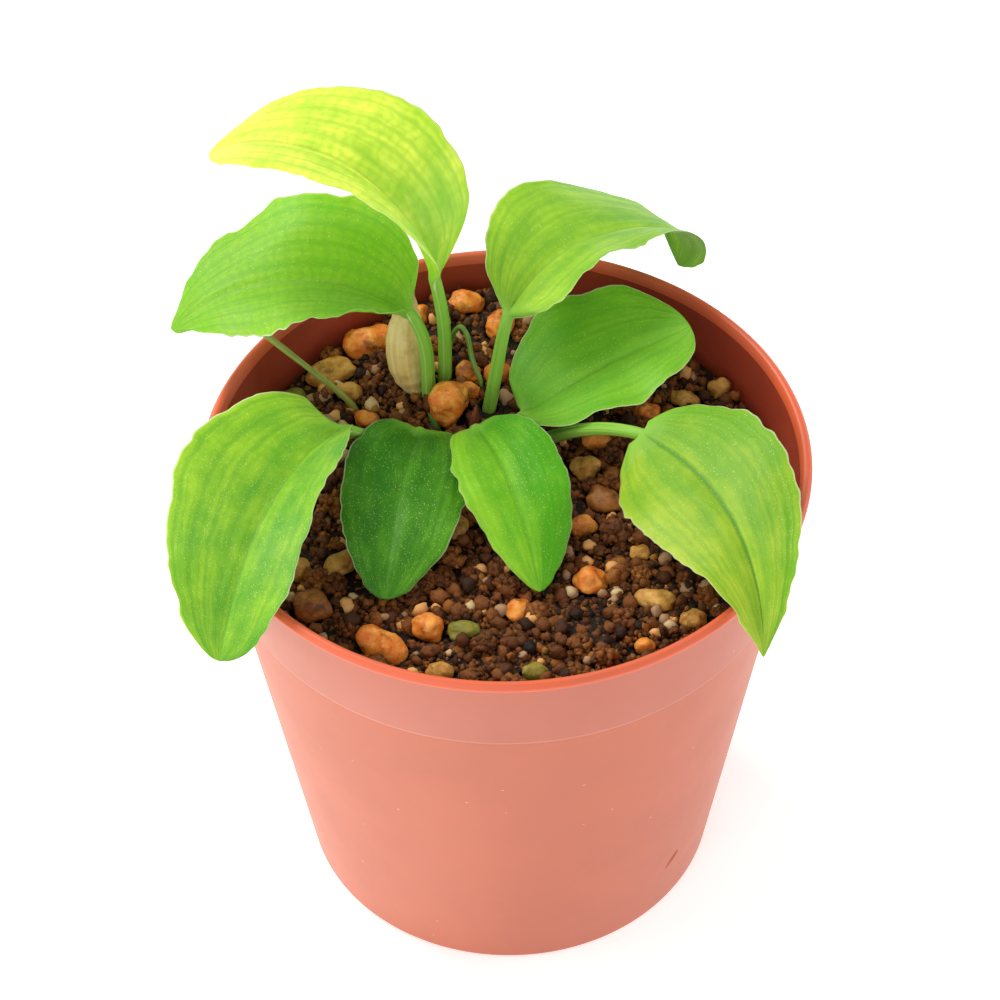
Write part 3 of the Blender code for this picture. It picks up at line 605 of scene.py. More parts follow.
@dataclass(frozen=True)
class LeafSkin:
    """A living leaf: waxy green skin over veined tissue that lets light through.

    The cells between the veins glint, drawn as fine pale dots of painted highlight, and the margin is a pale
    horny line.
    """

    body: str
    light: str
    vein: str
    stalk: str = "#86bc42"
    midrib: str = "#9cc26a"
    margin: str = "#cfe2a8"
    # the colour of the painted highlights where the leaf's cells glint
    speck: str = "#d4e68e"
    warm_start: float = 0.2
    warm_across: float = 0.0
    warm_along: float = 0.6
    bands: float = 0.12
    vein_strength: float = 0.35
    quilt: float = 0.35
    midrib_strength: float = 0.2
    speck_share: float = 0.55
    gloss: float = 0.45
    glow: float = 0.22
    cloud_mm: float = 7.0
    streak_mm: tuple = (1.7, 10)  # across and along the blade
    band_spacing_mm: float = 6.4
    vein_spacing_mm: float = 1.35
    main_vein_spacing_mm: float = 3.3
    cross_spacing_mm: float = 1.6
    speck_spacing_mm: float = 0.27
    cell_mm: float = 0.3

    def build(self, name: str, length_mm: float, half_mm: float) -> Material:
        """Makes the material.

        Args:
            name: The leaf's name.
            length_mm: The blade's length.
            half_mm: The blade's mean half-width.

        Returns:
            The material.
        """
        made, tree, shader = new_material(name + "_skin")
        place = add_node(tree, "UVMap", uv_map=UV_NAME).outputs[0]
        across = add_node(tree, "SeparateXYZ", {0: place}).outputs[0]
        blade, edge = (add_node(tree, "Attribute", attribute_name=mask).outputs["Fac"]
                       for mask in ("blade", "edge"))
        chart = Chart(tree, place, across, blade, edge)
        net = add_node(tree, "Math", {0: self.vein_net(chart), 1: blade}, operation="MULTIPLY").outputs[0]
        veined = add_node(tree, "Math", {0: net, 1: self.vein_strength}, operation="MULTIPLY").outputs[0]
        rim = add_node(tree, "MapRange", {"Value": edge, "From Min": 0.972, "From Max": 0.992,
                                          "To Max": 0.75}).outputs[0]
        colour = layered(tree, self.tissue(chart, length_mm, half_mm), (veined, self.vein),
                         (self.rib(chart), self.midrib), (rim, self.margin),
                         (self.specks(chart), self.speck))
        sunk = add_node(tree, "Bump", {"Height": net, "Strength": 0.35, "Distance": 0.10 * MM}, invert=True)
        cells = add_node(tree, "TexVoronoi", {"Vector": place, "Scale": 1 / self.cell_mm})
        relief = add_node(tree, "Bump", {"Height": cells.outputs["Distance"], "Strength": 0.45,
                                         "Distance": 0.03 * MM, "Normal": sunk.outputs[0]}).outputs[0]
        set_inputs(tree, shader, {
            "Base Color": colour, "Roughness": self.gloss, "Normal": relief, "Specular IOR Level": 0.22,
            "Subsurface Weight": self.glow, "Subsurface Scale": 0.8 * MM,
            "Subsurface Radius": (0.8, 1.0, 0.3)})
        return made

    def tissue(self, chart: Chart, length_mm: float, half_mm: float) -> Socket:
        """The green between the veins, yellower towards one side or end, with soft clouds.

        Args:
            chart: What the finish reads.
            length_mm: The blade's length.
            half_mm: The blade's mean half-width.

        Returns:
            The colour.
        """
        tree = chart.tree
        slope = (self.warm_across / half_mm, self.warm_along / length_mm, 0.0)
        lean = add_node(tree, "VectorMath", {0: chart.place, 1: slope},
                        operation="DOT_PRODUCT").outputs["Value"]
        clouds = add_node(tree, "TexNoise", {"Vector": chart.place, "Scale": 1 / self.cloud_mm,
                                             "Detail": 3.0, "Roughness": 0.6}).outputs["Fac"]
        cloudy = add_node(tree, "MapRange", {"Value": clouds, "From Min": 0.3, "From Max": 0.7,
                                             "To Min": self.warm_start - 0.35,
                                             "To Max": self.warm_start + 0.35}).outputs[0]
        wide, long = self.streak_mm
        drawn_out = add_node(tree, "Mapping", {"Vector": chart.place,
                                               "Scale": (1 / wide, 1 / long, 1.0)}).outputs[0]
        streaks = add_node(tree, "TexNoise", {"Vector": drawn_out, "Scale": 1.0, "Detail": 3.0})
        streaked = add_node(tree, "Math", {0: streaks.outputs["Fac"], 1: 0.7, 2: -0.35},
                            operation="MULTIPLY_ADD").outputs[0]
        bands = self.lines(tree, chart.across, self.band_spacing_mm, 1.0)
        banded = add_node(tree, "Math", {0: bands, 1: 2 * self.bands, 2: -self.bands},
                          operation="MULTIPLY_ADD").outputs[0]
        warm = lean
        for more in (cloudy, streaked, banded):
            warm = add_node(tree, "Math", {0: warm, 1: more}, operation="ADD",
                            use_clamp=more is banded).outputs[0]
        green = layered(tree, self.body, (warm, self.light))
        return layered(tree, self.stalk, (chart.blade, green))

    def vein_net(self, chart: Chart) -> Socket:
        """The net of long veins from base to tip and short cross veins, 1 on a vein.

        Args:
            chart: What the finish reads.

        Returns:
            How much of a vein each point is.
        """
        tree = chart.tree
        waver = add_node(tree, "TexNoise", {"Vector": chart.place, "Scale": 0.35, "Detail": 2.0})
        centred = add_node(tree, "VectorMath", {0: waver.outputs["Color"], 1: (0.5, 0.5, 0.5)},
                           operation="SUBTRACT").outputs[0]
        moved = add_node(tree, "VectorMath", {0: centred, 1: (1.6, 3.2, 0.0), 2: chart.place},
                         operation="MULTIPLY_ADD").outputs[0]
        parts = add_node(tree, "SeparateXYZ", {0: moved})
        fine = self.lines(tree, parts.outputs[0], self.vein_spacing_mm, 2.0)
        main = self.lines(tree, parts.outputs[0], self.main_vein_spacing_mm, 7.0)
        cross = self.lines(tree, parts.outputs[1], self.cross_spacing_mm, 2.0)
        faint = add_node(tree, "Math", {0: fine, 1: 0.45}, operation="MULTIPLY").outputs[0]
        quilted = add_node(tree, "Math", {0: cross, 1: self.quilt, 2: faint},
                           operation="MULTIPLY_ADD").outputs[0]
        return add_node(tree, "Math", {0: quilted, 1: main}, operation="ADD", use_clamp=True).outputs[0]

    @staticmethod
    def lines(tree: Tree, place: Socket, spacing: float, sharpness: float) -> Socket:
        """Evenly spaced soft lines, 1 on a line and 0 between two.

        Args:
            tree: The material's node tree.
            place: The coordinate across the lines.
            spacing: From one line to the next, in the same unit.
            sharpness: How thin the lines are.

        Returns:
            How much of a line each point is.
        """
        turn = add_node(tree, "Math", {0: place, 1: 2 * pi / spacing}, operation="MULTIPLY").outputs[0]
        wave = add_node(tree, "Math", {0: turn}, operation="COSINE").outputs[0]
        share = add_node(tree, "MapRange", {"Value": wave, "From Min": -1.0}).outputs[0]
        return add_node(tree, "Math", {0: share, 1: sharpness}, operation="POWER").outputs[0]

    def rib(self, chart: Chart) -> Socket:
        """The midrib's paler band, as strong as it is there.

        Args:
            chart: What the finish reads.

        Returns:
            The share of the midrib's colour.
        """
        off = add_node(chart.tree, "Math", {0: chart.across}, operation="ABSOLUTE").outputs[0]
        rib = add_node(chart.tree, "MapRange", {"Value": off, "From Min": 0.1, "From Max": 0.7,
                                                "To Min": self.midrib_strength, "To Max": 0.0}).outputs[0]
        return add_node(chart.tree, "Math", {0: rib, 1: chart.blade}, operation="MULTIPLY").outputs[0]

    def specks(self, chart: Chart) -> Socket:
        """The painted glints: pale dots painted into the colour where the leaf's cells catch the light, 1 on
        a dot, drawn at twice their real 0.05 mm, to show.

        Args:
            chart: What the finish reads.

        Returns:
            How much of a speck each point is.
        """
        tree = chart.tree
        cells = add_node(tree, "TexVoronoi", {"Vector": chart.place, "Scale": 1 / self.speck_spacing_mm})
        near = add_node(tree, "Math", {0: cells.outputs["Distance"], 1: 0.2},
                        operation="LESS_THAN").outputs[0]
        drawn = add_node(tree, "SeparateColor", {0: cells.outputs["Color"]})
        chosen = add_node(tree, "Math", {0: drawn.outputs["Red"], 1: self.speck_share},
                          operation="LESS_THAN").outputs[0]
        lit = near
        for share in (chosen, drawn.outputs["Green"], chart.blade):
            lit = add_node(tree, "Math", {0: lit, 1: share}, operation="MULTIPLY").outputs[0]
        return lit


@dataclass(frozen=True)
class Leaf:
    """One leaf: how its midrib runs, how the blade is cut and bent, and its skin.

    Angles are degrees. A heading is measured from +X, anticlockwise, and a rise is above level.
    Lengths are mm.
    """

    name: str
    base: tuple
    foot: tuple
    foot_rise: float
    foot_heading: float
    heading: float
    turn: float
    rise: float
    droop: float
    arch: float
    length: float
    left: float
    right: float
    left_widest: float
    right_widest: float
    fullness: float
    roll: float
    tip_roll: float
    fold: float
    tip_fold: float
    cup: float
    skin: LeafSkin
    lobe: float = 0.0
    wave: float = 0.0
    waves: float = 2.5
    left_phase: float = 0.0
    right_phase: float = 1.0
    hook: float = 0.0
    neck_turn: float = 0.0
    neck_rise: float = 0.0
    taper: float = 0.05  # share of the blade over which it widens from its stalk
    blunt: float = 0.6  # half-width of its tip, mm
    ragged: float = 0.4  # how uneven the margin is, mm
    scallop: float = 0.2  # depth of the margin's larger notches, mm
    ripple: float = 0.16  # how uneven the blade is, mm


@dataclass
class LeafBuilder:
    """Grows one leaf's skin, from the foot of its stalk to its tip."""

    leaf: Leaf
    foot_height: float
    thickness: float = 0.42 * MM
    stalk_radius: float = 0.92 * MM
    foot_radius: float = 1.1 * MM
    junction: float = 0.05
    neck: float = 0.07  # share of the blade over which the stalk flattens into it
    hook_start: float = 0.75
    lobe_start: float = 1.5 * MM
    stalk_rings: int = 26
    blade_rings: int = 150
    points_across: int = 44
    groove: float = 0.22 * MM
    groove_width: float = 0.75 * MM
    rib_height: float = 0.055 * MM
    rib_spacing: float = 1.35 * MM
    crowding: float = 0.65  # how closely the rings crowd at both ends of the blade
    gather: float = 1.25  # and the points at its margins, radians
    channel_depth: float = 0.30  # of the stalk's channel; this and the next two are shares of its radius
    channel_width: float = 0.34
    flute_depth: float = 0.05
    flutes: int = 7
    keel_share: float = 0.8  # the keel under the midrib, as a share of the blade's thickness
    keel_width: float = 0.6 * MM
    narrow: float = 3 * MM  # half-width below which ribs and teeth fade out
    tooth_mm: float = 1.6  # from one tooth of the margin to the next
    bite_mm: float = 4.5
    notch_mm: float = 5.0
    ripple_mm: tuple = (5, 7)  # across and along the blade
    centres: list[Vector] = field(default_factory=list)
    frames: list[tuple] = field(default_factory=list)
    shares: list[float] = field(default_factory=list)

    def build(self) -> None:
        """Makes the leaf and its skin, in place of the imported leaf."""
        leaf = self.leaf
        self.lay_midrib()
        rings = self.stalk_rings + self.blade_rings
        skin = sleeve(2 * self.points_across, rings, self.place)
        finish = leaf.skin.build(leaf.name, leaf.length, (leaf.left + leaf.right) / 2)
        add_piece(leaf.name + "_blade", skin, finish, leaf.name, slot=leaf.name + "_green")

    def ahead(self, share: float) -> Vector:
        """The midrib's direction at a share of its length.

        Args:
            share: 0 at the blade's base, 1 at its tip.

        Returns:
            The unit vector.
        """
        leaf = self.leaf
        rise = leaf.rise + (leaf.droop - leaf.rise) * share ** leaf.arch
        rise += leaf.hook * eased((share - self.hook_start) / (1 - self.hook_start))
        return direction(leaf.heading + leaf.turn * share, rise)

    def blade_frame(self, share: float) -> tuple[Vector, Vector, Vector]:
        """The blade's forward, side and upward directions at a share of its length.

        Args:
            share: 0 at the blade's base, 1 at its tip.

        Returns:
            The three unit vectors.
        """
        leaf = self.leaf
        ahead = self.ahead(share)
        level = Vector((0, 0, 1)).cross(direction(leaf.heading + leaf.turn * share, 0))
        over = ahead.cross(level)
        roll = radians(leaf.roll + (leaf.tip_roll - leaf.roll) * share)
        return ahead, level * cos(roll) + over * sin(roll), over * cos(roll) - level * sin(roll)

    def lay_midrib(self) -> None:
        """Works out each ring's centre and directions, up the stalk and then along the blade."""
        leaf = self.leaf
        foot = Vector((leaf.foot[0] * MM, leaf.foot[1] * MM, self.foot_height))
        base = Vector(leaf.base) * MM
        reach = (base - foot).length
        start = direction(leaf.foot_heading, leaf.foot_rise) * reach
        end = direction(leaf.heading + leaf.neck_turn, leaf.rise + leaf.neck_rise) * reach
        _, first_side, _ = self.blade_frame(0)
        for k in range(self.stalk_rings):
            u = k / self.stalk_rings
            point = ((2 * u ** 3 - 3 * u ** 2 + 1) * foot + (u ** 3 - 2 * u ** 2 + u) * start
                     + (3 * u ** 2 - 2 * u ** 3) * base + (u ** 3 - u ** 2) * end)
            slope = ((6 * u ** 2 - 6 * u) * foot + (3 * u ** 2 - 4 * u + 1) * start
                     + (6 * u - 6 * u ** 2) * base + (3 * u ** 2 - 2 * u) * end).normalized()
            side = (first_side - slope * first_side.dot(slope)).normalized()
            self.centres.append(point)
            self.frames.append((slope, side, slope.cross(side)))
            self.shares.append(u - 1)
        point = base.copy()
        last = 0.0
        for k in range(self.blade_rings + 1):
            even = k / self.blade_rings
            share = (1 - self.crowding) * even + self.crowding * (0.5 - 0.5 * cos(pi * even))
            point = point + self.ahead((last + share) / 2) * (share - last) * leaf.length * MM
            last = share
            self.centres.append(point.copy())
            self.frames.append(self.blade_frame(share))
            self.shares.append(share)

    def spread(self, share: float, widest: float) -> float:
        """Half-width at a share of the length, as a share of the greatest half-width.

        Args:
            share: 0 at the blade's base, 1 at its tip.
            widest: The share at which it is widest.

        Returns:
            From 0 to 1.
        """
        if share <= 0 or share >= 1:
            return 0.0
        rise = (share / widest) ** widest
        fall = ((1 - share) / (1 - widest)) ** (1 - widest)
        return (rise * fall) ** self.leaf.fullness

    def place(self, around: float, along: float) -> SkinPoint:
        """The skin's point at a share of the way round and along.

        Args:
            around: 0 at the left margin, over the top, 0.5 at the right margin, and back below.
            along: 0 at the stalk's foot, 1 at the leaf's tip.

        Returns:
            The point.
        """
        ring = round(along * (self.stalk_rings + self.blade_rings))
        upper = around < 0.5
        swing = 1 - 4 * around if upper else 4 * around - 3
        across = sin(self.gather * swing) / sin(self.gather)
        point = self.stalk_point if self.shares[ring] < 0 else self.blade_point
        return point(ring, across, upper)

    def stalk_point(self, ring: int, across: float, upper: bool) -> SkinPoint:
        """A point of the stalk, which is round with a channel down its upper side.

        Args:
            ring: The ring's number, from the stalk's foot.
            across: 1 at the left margin, -1 at the right.
            upper: Whether it is on the upper side.

        Returns:
            The point.
        """
        leaf = self.leaf
        _, side, over = self.frames[ring]
        share = 1 + self.shares[ring]
        radius = self.foot_radius + (self.stalk_radius - self.foot_radius) * share
        fading = eased(share * 3) * eased((1 - share) * 5)
        channel = self.channel_depth * fading * exp(-(across / self.channel_width) ** 2) if upper else 0.0
        flute = self.flute_depth * fading * cos(self.flutes * pi * across)
        bulge = sqrt(max(0.0, 1 - across ** 2)) * (1 - channel + flute)
        at = self.centres[ring] + radius * (side * across + over * bulge * (1 if upper else -1))
        pale = 0.985 * abs(across)  # its sides stay just short of the margin's full paleness
        return SkinPoint(at, across * radius / MM, (share - 1) * leaf.length / 2, pale, 0.0)

    def blade_point(self, ring: int, across: float, upper: bool) -> SkinPoint:
        """A point of the blade, with its midrib channel, ribs, ripples and margin.

        Args:
            ring: The ring's number, from the stalk's foot.
            across: 1 at the left margin, -1 at the right.
            upper: Whether it is on the upper side.

        Returns:
            The point.
        """
        leaf = self.leaf
        share = self.shares[ring]
        ahead, side, over = self.frames[ring]
        left = across > 0
        reach = abs(across)
        widest = leaf.left_widest if left else leaf.right_widest
        half = (leaf.left if left else leaf.right) * MM * self.spread(share, widest)
        half *= sqrt(eased(share / leaf.taper))
        tip = leaf.blunt * MM * eased((share - 0.6) / 0.35) * sqrt(max(0.0, 1 - share ** 40))
        width = sqrt(half ** 2 + self.stalk_radius ** 2 * (1 - eased(share)) ** 2 + tip ** 2)
        opened = eased(share / self.junction)
        fold = radians(leaf.fold + (leaf.tip_fold - leaf.fold) * share) * opened
        cup = radians(leaf.cup) * opened
        cup = cup if abs(cup) > SMALL else SMALL
        lateral = width * (sin(fold + cup * reach) - sin(fold)) / cup
        lift = width * (cos(fold) - cos(fold + cup * reach)) / cup
        ripple = sin(2 * pi * leaf.waves * share + (leaf.left_phase if left else leaf.right_phase))
        lift += leaf.wave * MM * reach ** 2 * ripple * sqrt(sin(pi * min(share, 1)) + SMALL ** 2)
        flare = min(1.0, (width - self.stalk_radius) / self.lobe_start)
        back = leaf.lobe * MM * reach ** 1.5 * (1 - share) ** 4 * flare
        ends = min(1.0, half / self.narrow)
        lateral += self.margin_wear(share, left) * reach ** 6 * ends
        lift += self.surface_detail(share, across, width, ends)
        keel = (self.thickness * self.keel_share * exp(-(across * width / self.keel_width) ** 2)
                * (1 - share) * opened)
        slimmed = eased(share / self.neck)
        half_thickness = self.thickness / 2 + (self.stalk_radius - self.thickness / 2) * (1 - slimmed)
        thick = half_thickness * max(0.0, 1 - reach ** 2) ** 0.5
        if not upper:
            thick = -thick - keel
        lean = fold + cup * reach
        outward = side * (1 if left else -1)
        face = over * cos(lean) - outward * sin(lean)
        at = self.centres[ring] + outward * lateral + over * lift - ahead * back + face * thick
        half_mm = leaf.left if left else leaf.right
        return SkinPoint(at, across * half_mm, share * leaf.length, reach, eased(share / 0.09))

    def margin_wear(self, share: float, left: bool) -> float:
        """How far the margin stands out or in, from its small uneven teeth.

        Args:
            share: 0 at the blade's base, 1 at its tip.
            left: Whether it is the left margin.

        Returns:
            The distance outwards.
        """
        leaf = self.leaf
        run = share * leaf.length
        seed = len(leaf.name) * 3.7 + leaf.length + (11.3 if left else 0.0)
        teeth = noise.noise(Vector((run / self.tooth_mm, seed, 0.3)))
        bites = min(0.0, noise.noise(Vector((run / self.bite_mm, seed, 7.1))) + 0.15)
        slow = noise.noise(Vector((run / self.notch_mm, seed, 3.3))) - 0.3
        return MM * (leaf.ragged * (teeth + 2.2 * bites) + 2 * leaf.scallop * slow)

    def surface_detail(self, share: float, across: float, width: float, ends: float) -> float:
        """Height of the midrib's channel, the long ribs and the blade's slow ripples.

        Args:
            share: 0 at the blade's base, 1 at its tip.
            across: 1 at the left margin, -1 at the right.
            width: The half-width there.
            ends: Fades to 0 where the blade is narrow.

        Returns:
            The height.
        """
        leaf = self.leaf
        off = across * width
        channel = -self.groove * exp(-(off / self.groove_width) ** 2) * min(1.0, 4 * (1 - share))
        ribs = round((leaf.left + leaf.right) / 2 * MM / self.rib_spacing)
        rib = self.rib_height * (1 - 2 * abs(cos(pi * across * ribs)) ** 3) * (1 - across ** 4)
        wide, long = self.ripple_mm
        slow = noise.noise(Vector((off / (wide * MM), share * leaf.length / long, leaf.length)))
        return (channel + rib * ends + slow * leaf.ripple * MM * ends) * eased(share / 0.12)


@dataclass
class Foliage:
    """All the leaves."""

    stalk_foot_height: float = 67.5 * MM

    def leaves(self) -> list[Leaf]:
        """The eight leaves, tallest first, then round the pot.

        Returns:
            The leaves.
        """
        # The tall leaf's pale yellow-green, paling further towards its tip, is painted light: it stands for
        # the light that shines through the leaf from behind.
        tall = LeafSkin("#8fcb26", "#f2fb5c", "#8cc032", midrib="#a0bc60", warm_start=0.05, warm_along=0.95,
                        bands=0.05, vein_strength=0.42, quilt=0.5, speck_share=0.2, glow=0.3)
        low = LeafSkin("#72b21e", "#8cba32", "#559a24", warm_start=0.45, warm_along=0.05, bands=0.05,
                       vein_strength=0.4, quilt=0.5, speck_share=0.35)
        back = LeafSkin("#70aa28", "#a8d034", "#62a02c", warm_start=0.65, warm_along=-0.6,
                        speck_share=0.35)
        inner = LeafSkin("#5ea822", "#80be2c", "#529622", midrib="#4a8f28", warm_start=0.35,
                         warm_across=-0.1, warm_along=0.35, vein_strength=0.25, quilt=0.1, speck_share=0.5)
        outer = LeafSkin("#6ea41c", "#a8c232", "#4c9022", midrib="#36801c", warm_start=0.1,
                         warm_across=-0.32, warm_along=0.55, vein_strength=0.22, quilt=0.1,
                         midrib_strength=0.7, speck_share=0.45)
        front_right = LeafSkin("#50a40c", "#8cca26", "#4a9a1c", midrib="#4a9a1c", warm_start=0.4,
                               warm_across=-0.6, warm_along=0.05, vein_strength=0.2, quilt=0.05,
                               speck_share=0.75)
        front_left = LeafSkin("#2f760a", "#62a81e", "#266a0e", midrib="#4a9030", warm_start=0.18,
                              warm_across=0.22, warm_along=0.15, vein_strength=0.25, quilt=0.05,
                              speck_share=0.9)
        left = LeafSkin("#5ca024", "#a2cc32", "#4c942a", midrib="#5ca024", warm_start=0.42,
                        warm_across=-0.15, warm_along=-0.12, bands=0.09, vein_strength=0.36, quilt=0.2,
                        speck_share=0.75)
        return [
            Leaf("leaf_back_left_tall", (-10, 20.6, 95.2), (-9.2, 23), 90, 90, 150, 20, 77, -37, 1.2,
                 46, 13, 16.5, 0.49, 0.46, 1.22, 18, 9, 42, 6, -14, tall, wave=0.2, left_phase=0.6,
                 taper=0.18, blunt=2.2, ragged=0.6, scallop=0.3),
            Leaf("leaf_back_left_low", (-13.7, 20.2, 89.2), (-10.8, 20.2), 75, 180, 158, 46, 27, -32, 1.0,
                 38.7, 12.6, 16.4, 0.41, 0.41, 1.6, 2, -4, 33, -1, -10, low, wave=0.65, left_phase=0.7,
                 right_phase=1.1, hook=-4, neck_rise=30, taper=0.08, blunt=1.8, ragged=0.9, scallop=1.2,
                 ripple=0.35),
            Leaf("leaf_back_right", (0.5, 21.5, 87.4), (-3.4, 16.8), 70, 45, 59, -62, 26, -36, 1.0,
                 42.6, 16, 10.8, 0.56, 0.36, 1.33, 8, -41, 31, -4, -2, back, wave=-0.75, left_phase=-1.5,
                 right_phase=-0.35, hook=-97, neck_rise=34, ragged=0.6, scallop=0.5),
            Leaf("leaf_right_inner", (2.7, 13, 74.9), (-0.8, 13.4), 62, 0, 19, 1, 30, 7, 1.0,
                 28.6, 15.2, 11.5, 0.46, 0.40, 1.12, -11, 7, 21, 3, -3, inner, lobe=0.7, wave=0.75,
                 waves=2.6, left_phase=1.5, right_phase=1.3, hook=10, blunt=3.0),
            Leaf("leaf_right_outer", (20, 0.7, 83.2), (0.6, 10.0), 62, -18, -50, -36, 14, -59, 2.1,
                 45.7, 12.2, 12.2, 0.32, 0.33, 1.7, 24, 8, -1, 21, -12, outer, lobe=2.0, wave=-0.75,
                 waves=2.0, left_phase=0.8, right_phase=1.0, hook=-20, neck_turn=20, neck_rise=-6),
            Leaf("leaf_front_right", (-4.4, 6.6, 78.7), (-4.6, 9.6), 85, -90, -66, -12, 25, -45, 0.9,
                 31.2, 8.7, 7.5, 0.43, 0.41, 1.26, 9, 2, 20, 1, -21, front_right, lobe=1.8, wave=0.55,
                 waves=2.4, left_phase=-0.5, right_phase=1.0, hook=10, neck_rise=30),
            Leaf("leaf_front_left", (-12.9, 9.8, 75), (-12.4, 11.6), 85, -90, -102, 7, 22, -24, 0.9,
                 33.6, 10, 9, 0.43, 0.41, 1.12, -5, -11, 20, 7, -12, front_left, lobe=2.0, wave=0.45,
                 waves=2.5, left_phase=-2.4, right_phase=0.9, hook=-4, neck_rise=25, blunt=1.6),
            Leaf("leaf_left_outer", (-23.7, 5.5, 80), (-15.8, 10.4), 55, -160, -122, 20, 29, -39, 1.0,
                 48.1, 9.5, 14.9, 0.59, 0.40, 1.16, 10, 1, 31, 9, 0, left, lobe=1.0, wave=0.65,
                 waves=2.5, left_phase=1.0, right_phase=0.85, hook=4, neck_turn=-25, neck_rise=5,
                 blunt=2.0, ragged=0.35, scallop=0.4),
        ]

    def build(self) -> None:
        """Grows every leaf."""
        for leaf in self.leaves():
            LeafBuilder(leaf, self.stalk_foot_height).build()


# ---- pumice --------------------------------------------------------------------------------------
class Tone(Enum):
    """The colours that the pumice stones come in, each as (body, light, stain)."""

    ORANGE = ("#dd7420", "#fbb04e", "#5e3012")
    TAN = ("#bd8434", "#e2b258", "#5c3a16")
    BROWN = ("#8c5222", "#bd7c38", "#3a2010")
    MOSSY = ("#7c7a26", "#a8923c", "#4a6a12")


@dataclass(frozen=True)
class PumiceSkin:
    """Damp pumice: porous volcanic glass, matt, stained by the mix that clings to its pores."""

    tone: Tone
    stain_share: float = 0.75
    grain_mm: float = 0.35
    cloud_mm: float = 2.2
    dirt_mm: float = 3.1

    def build(self) -> Material:
        """Makes the material.

        Returns:
            The material.
        """
        body, light, stain = self.tone.value
        made, tree, shader = new_material("pumice_" + self.tone.name.lower())
        place = add_node(tree, "TexCoord").outputs["Object"]
        cloud = add_node(tree, "TexNoise", {"Vector": place, "Scale": 1 / (self.cloud_mm * MM),
                                            "Detail": 5.0, "Roughness": 0.65}).outputs["Fac"]
        lit = add_node(tree, "MapRange", {"Value": cloud, "From Min": 0.42, "From Max": 0.66}).outputs[0]
        dirt = add_node(tree, "TexNoise", {"Vector": place, "Scale": 1 / (self.dirt_mm * MM), "Detail": 6.0,
                                           "Roughness": 0.7, "Distortion": 0.4}).outputs["Fac"]
        soiled = add_node(tree, "MapRange", {"Value": dirt, "From Min": 0.52, "From Max": 0.66,
                                             "To Max": self.stain_share}).outputs[0]
        colour = layered(tree, body, (lit, light), (soiled, stain))
        pores = add_node(tree, "TexVoronoi", {"Vector": place, "Scale": 1 / (self.grain_mm * MM)})
        relief = add_node(tree, "Bump", {"Height": pores.outputs["Distance"], "Strength": 0.5,
                                         "Distance": 0.10 * MM}).outputs[0]
        set_inputs(tree, shader, {"Base Color": colour, "Roughness": 0.45, "Normal": relief,
                                  "Specular IOR Level": 0.35})
        return made


@dataclass
class Pumice:
    """The stones: each packed stone refined, made uneven and pitted."""

    cuts: int = 3
    relief: float = 0.55  # the depth of everything that follows
    lump_share: float = 0.16
    lumps: float = 1.9  # across a stone
    grit_share: float = 0.05
    grit_mm: float = 0.7
    pit_share: float = 0.10
    pit_size_mm: float = 1.5
    pit_radius: float = 0.35  # as a share of its size's cell

    def tone_of(self, node: str) -> Tone:
        """The stone's tone, from its material slot in the record."""
        slots = {part["node"]: part["material_slot"] for part in frame["record"]["subparts"]}
        return Tone[slots[node].removeprefix("pumice_").upper()]

    def build(self) -> None:
        """Refines every stone."""
        finishes = {tone: PumiceSkin(tone).build() for tone in Tone}
        stones = sorted(name for name in frame["nodes"] if name.startswith("pumice_"))
        for index, node in enumerate(stones):
            tone = self.tone_of(node)
            rock = self.refine(node, index)
            slot = "pumice_" + tone.name.lower()
            add_piece("stone_" + node[-2:], rock, finishes[tone], node, slot=slot)

    def refine(self, node: str, index: int) -> BMesh:
        """A finer copy of a packed stone, with lumps, grit and pits.

        Args:
            node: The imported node.
            index: Its number, which makes its lumps its own.

        Returns:
            The new mesh.
        """
        rock = bmesh.new()
        rock.from_mesh(frame["nodes"][node].data)
        bmesh.ops.remove_doubles(rock, verts=rock.verts, dist=WELD)
        bmesh.ops.subdivide_edges(rock, edges=rock.edges, cuts=self.cuts, use_grid_fill=True, smooth=0.6)
        bmesh.ops.smooth_vert(rock, verts=rock.verts, factor=0.5, use_axis_x=True, use_axis_y=True,
                              use_axis_z=True)
        rock.normal_update()
        low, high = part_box(node)
        size = (high - low).length / 2
        shift = Vector((index * 3.1, index * 1.7, index * 2.3))
        moves = []
        for vert in rock.verts:
            at = vert.co / size
            lump = noise.noise(at * self.lumps + shift) * self.lump_share
            grit = noise.noise(vert.co / (self.grit_mm * MM) + shift) * self.grit_share
            nearest = noise.voronoi(vert.co / (self.pit_size_mm * MM) + shift)[0][0]
            pit = -self.pit_share * max(0.0, 1 - nearest / self.pit_radius)
            moves.append(vert.normal * (lump + grit + pit) * size * self.relief)
        for vert, move in zip(rock.verts, moves):
            vert.co += move
        return rock


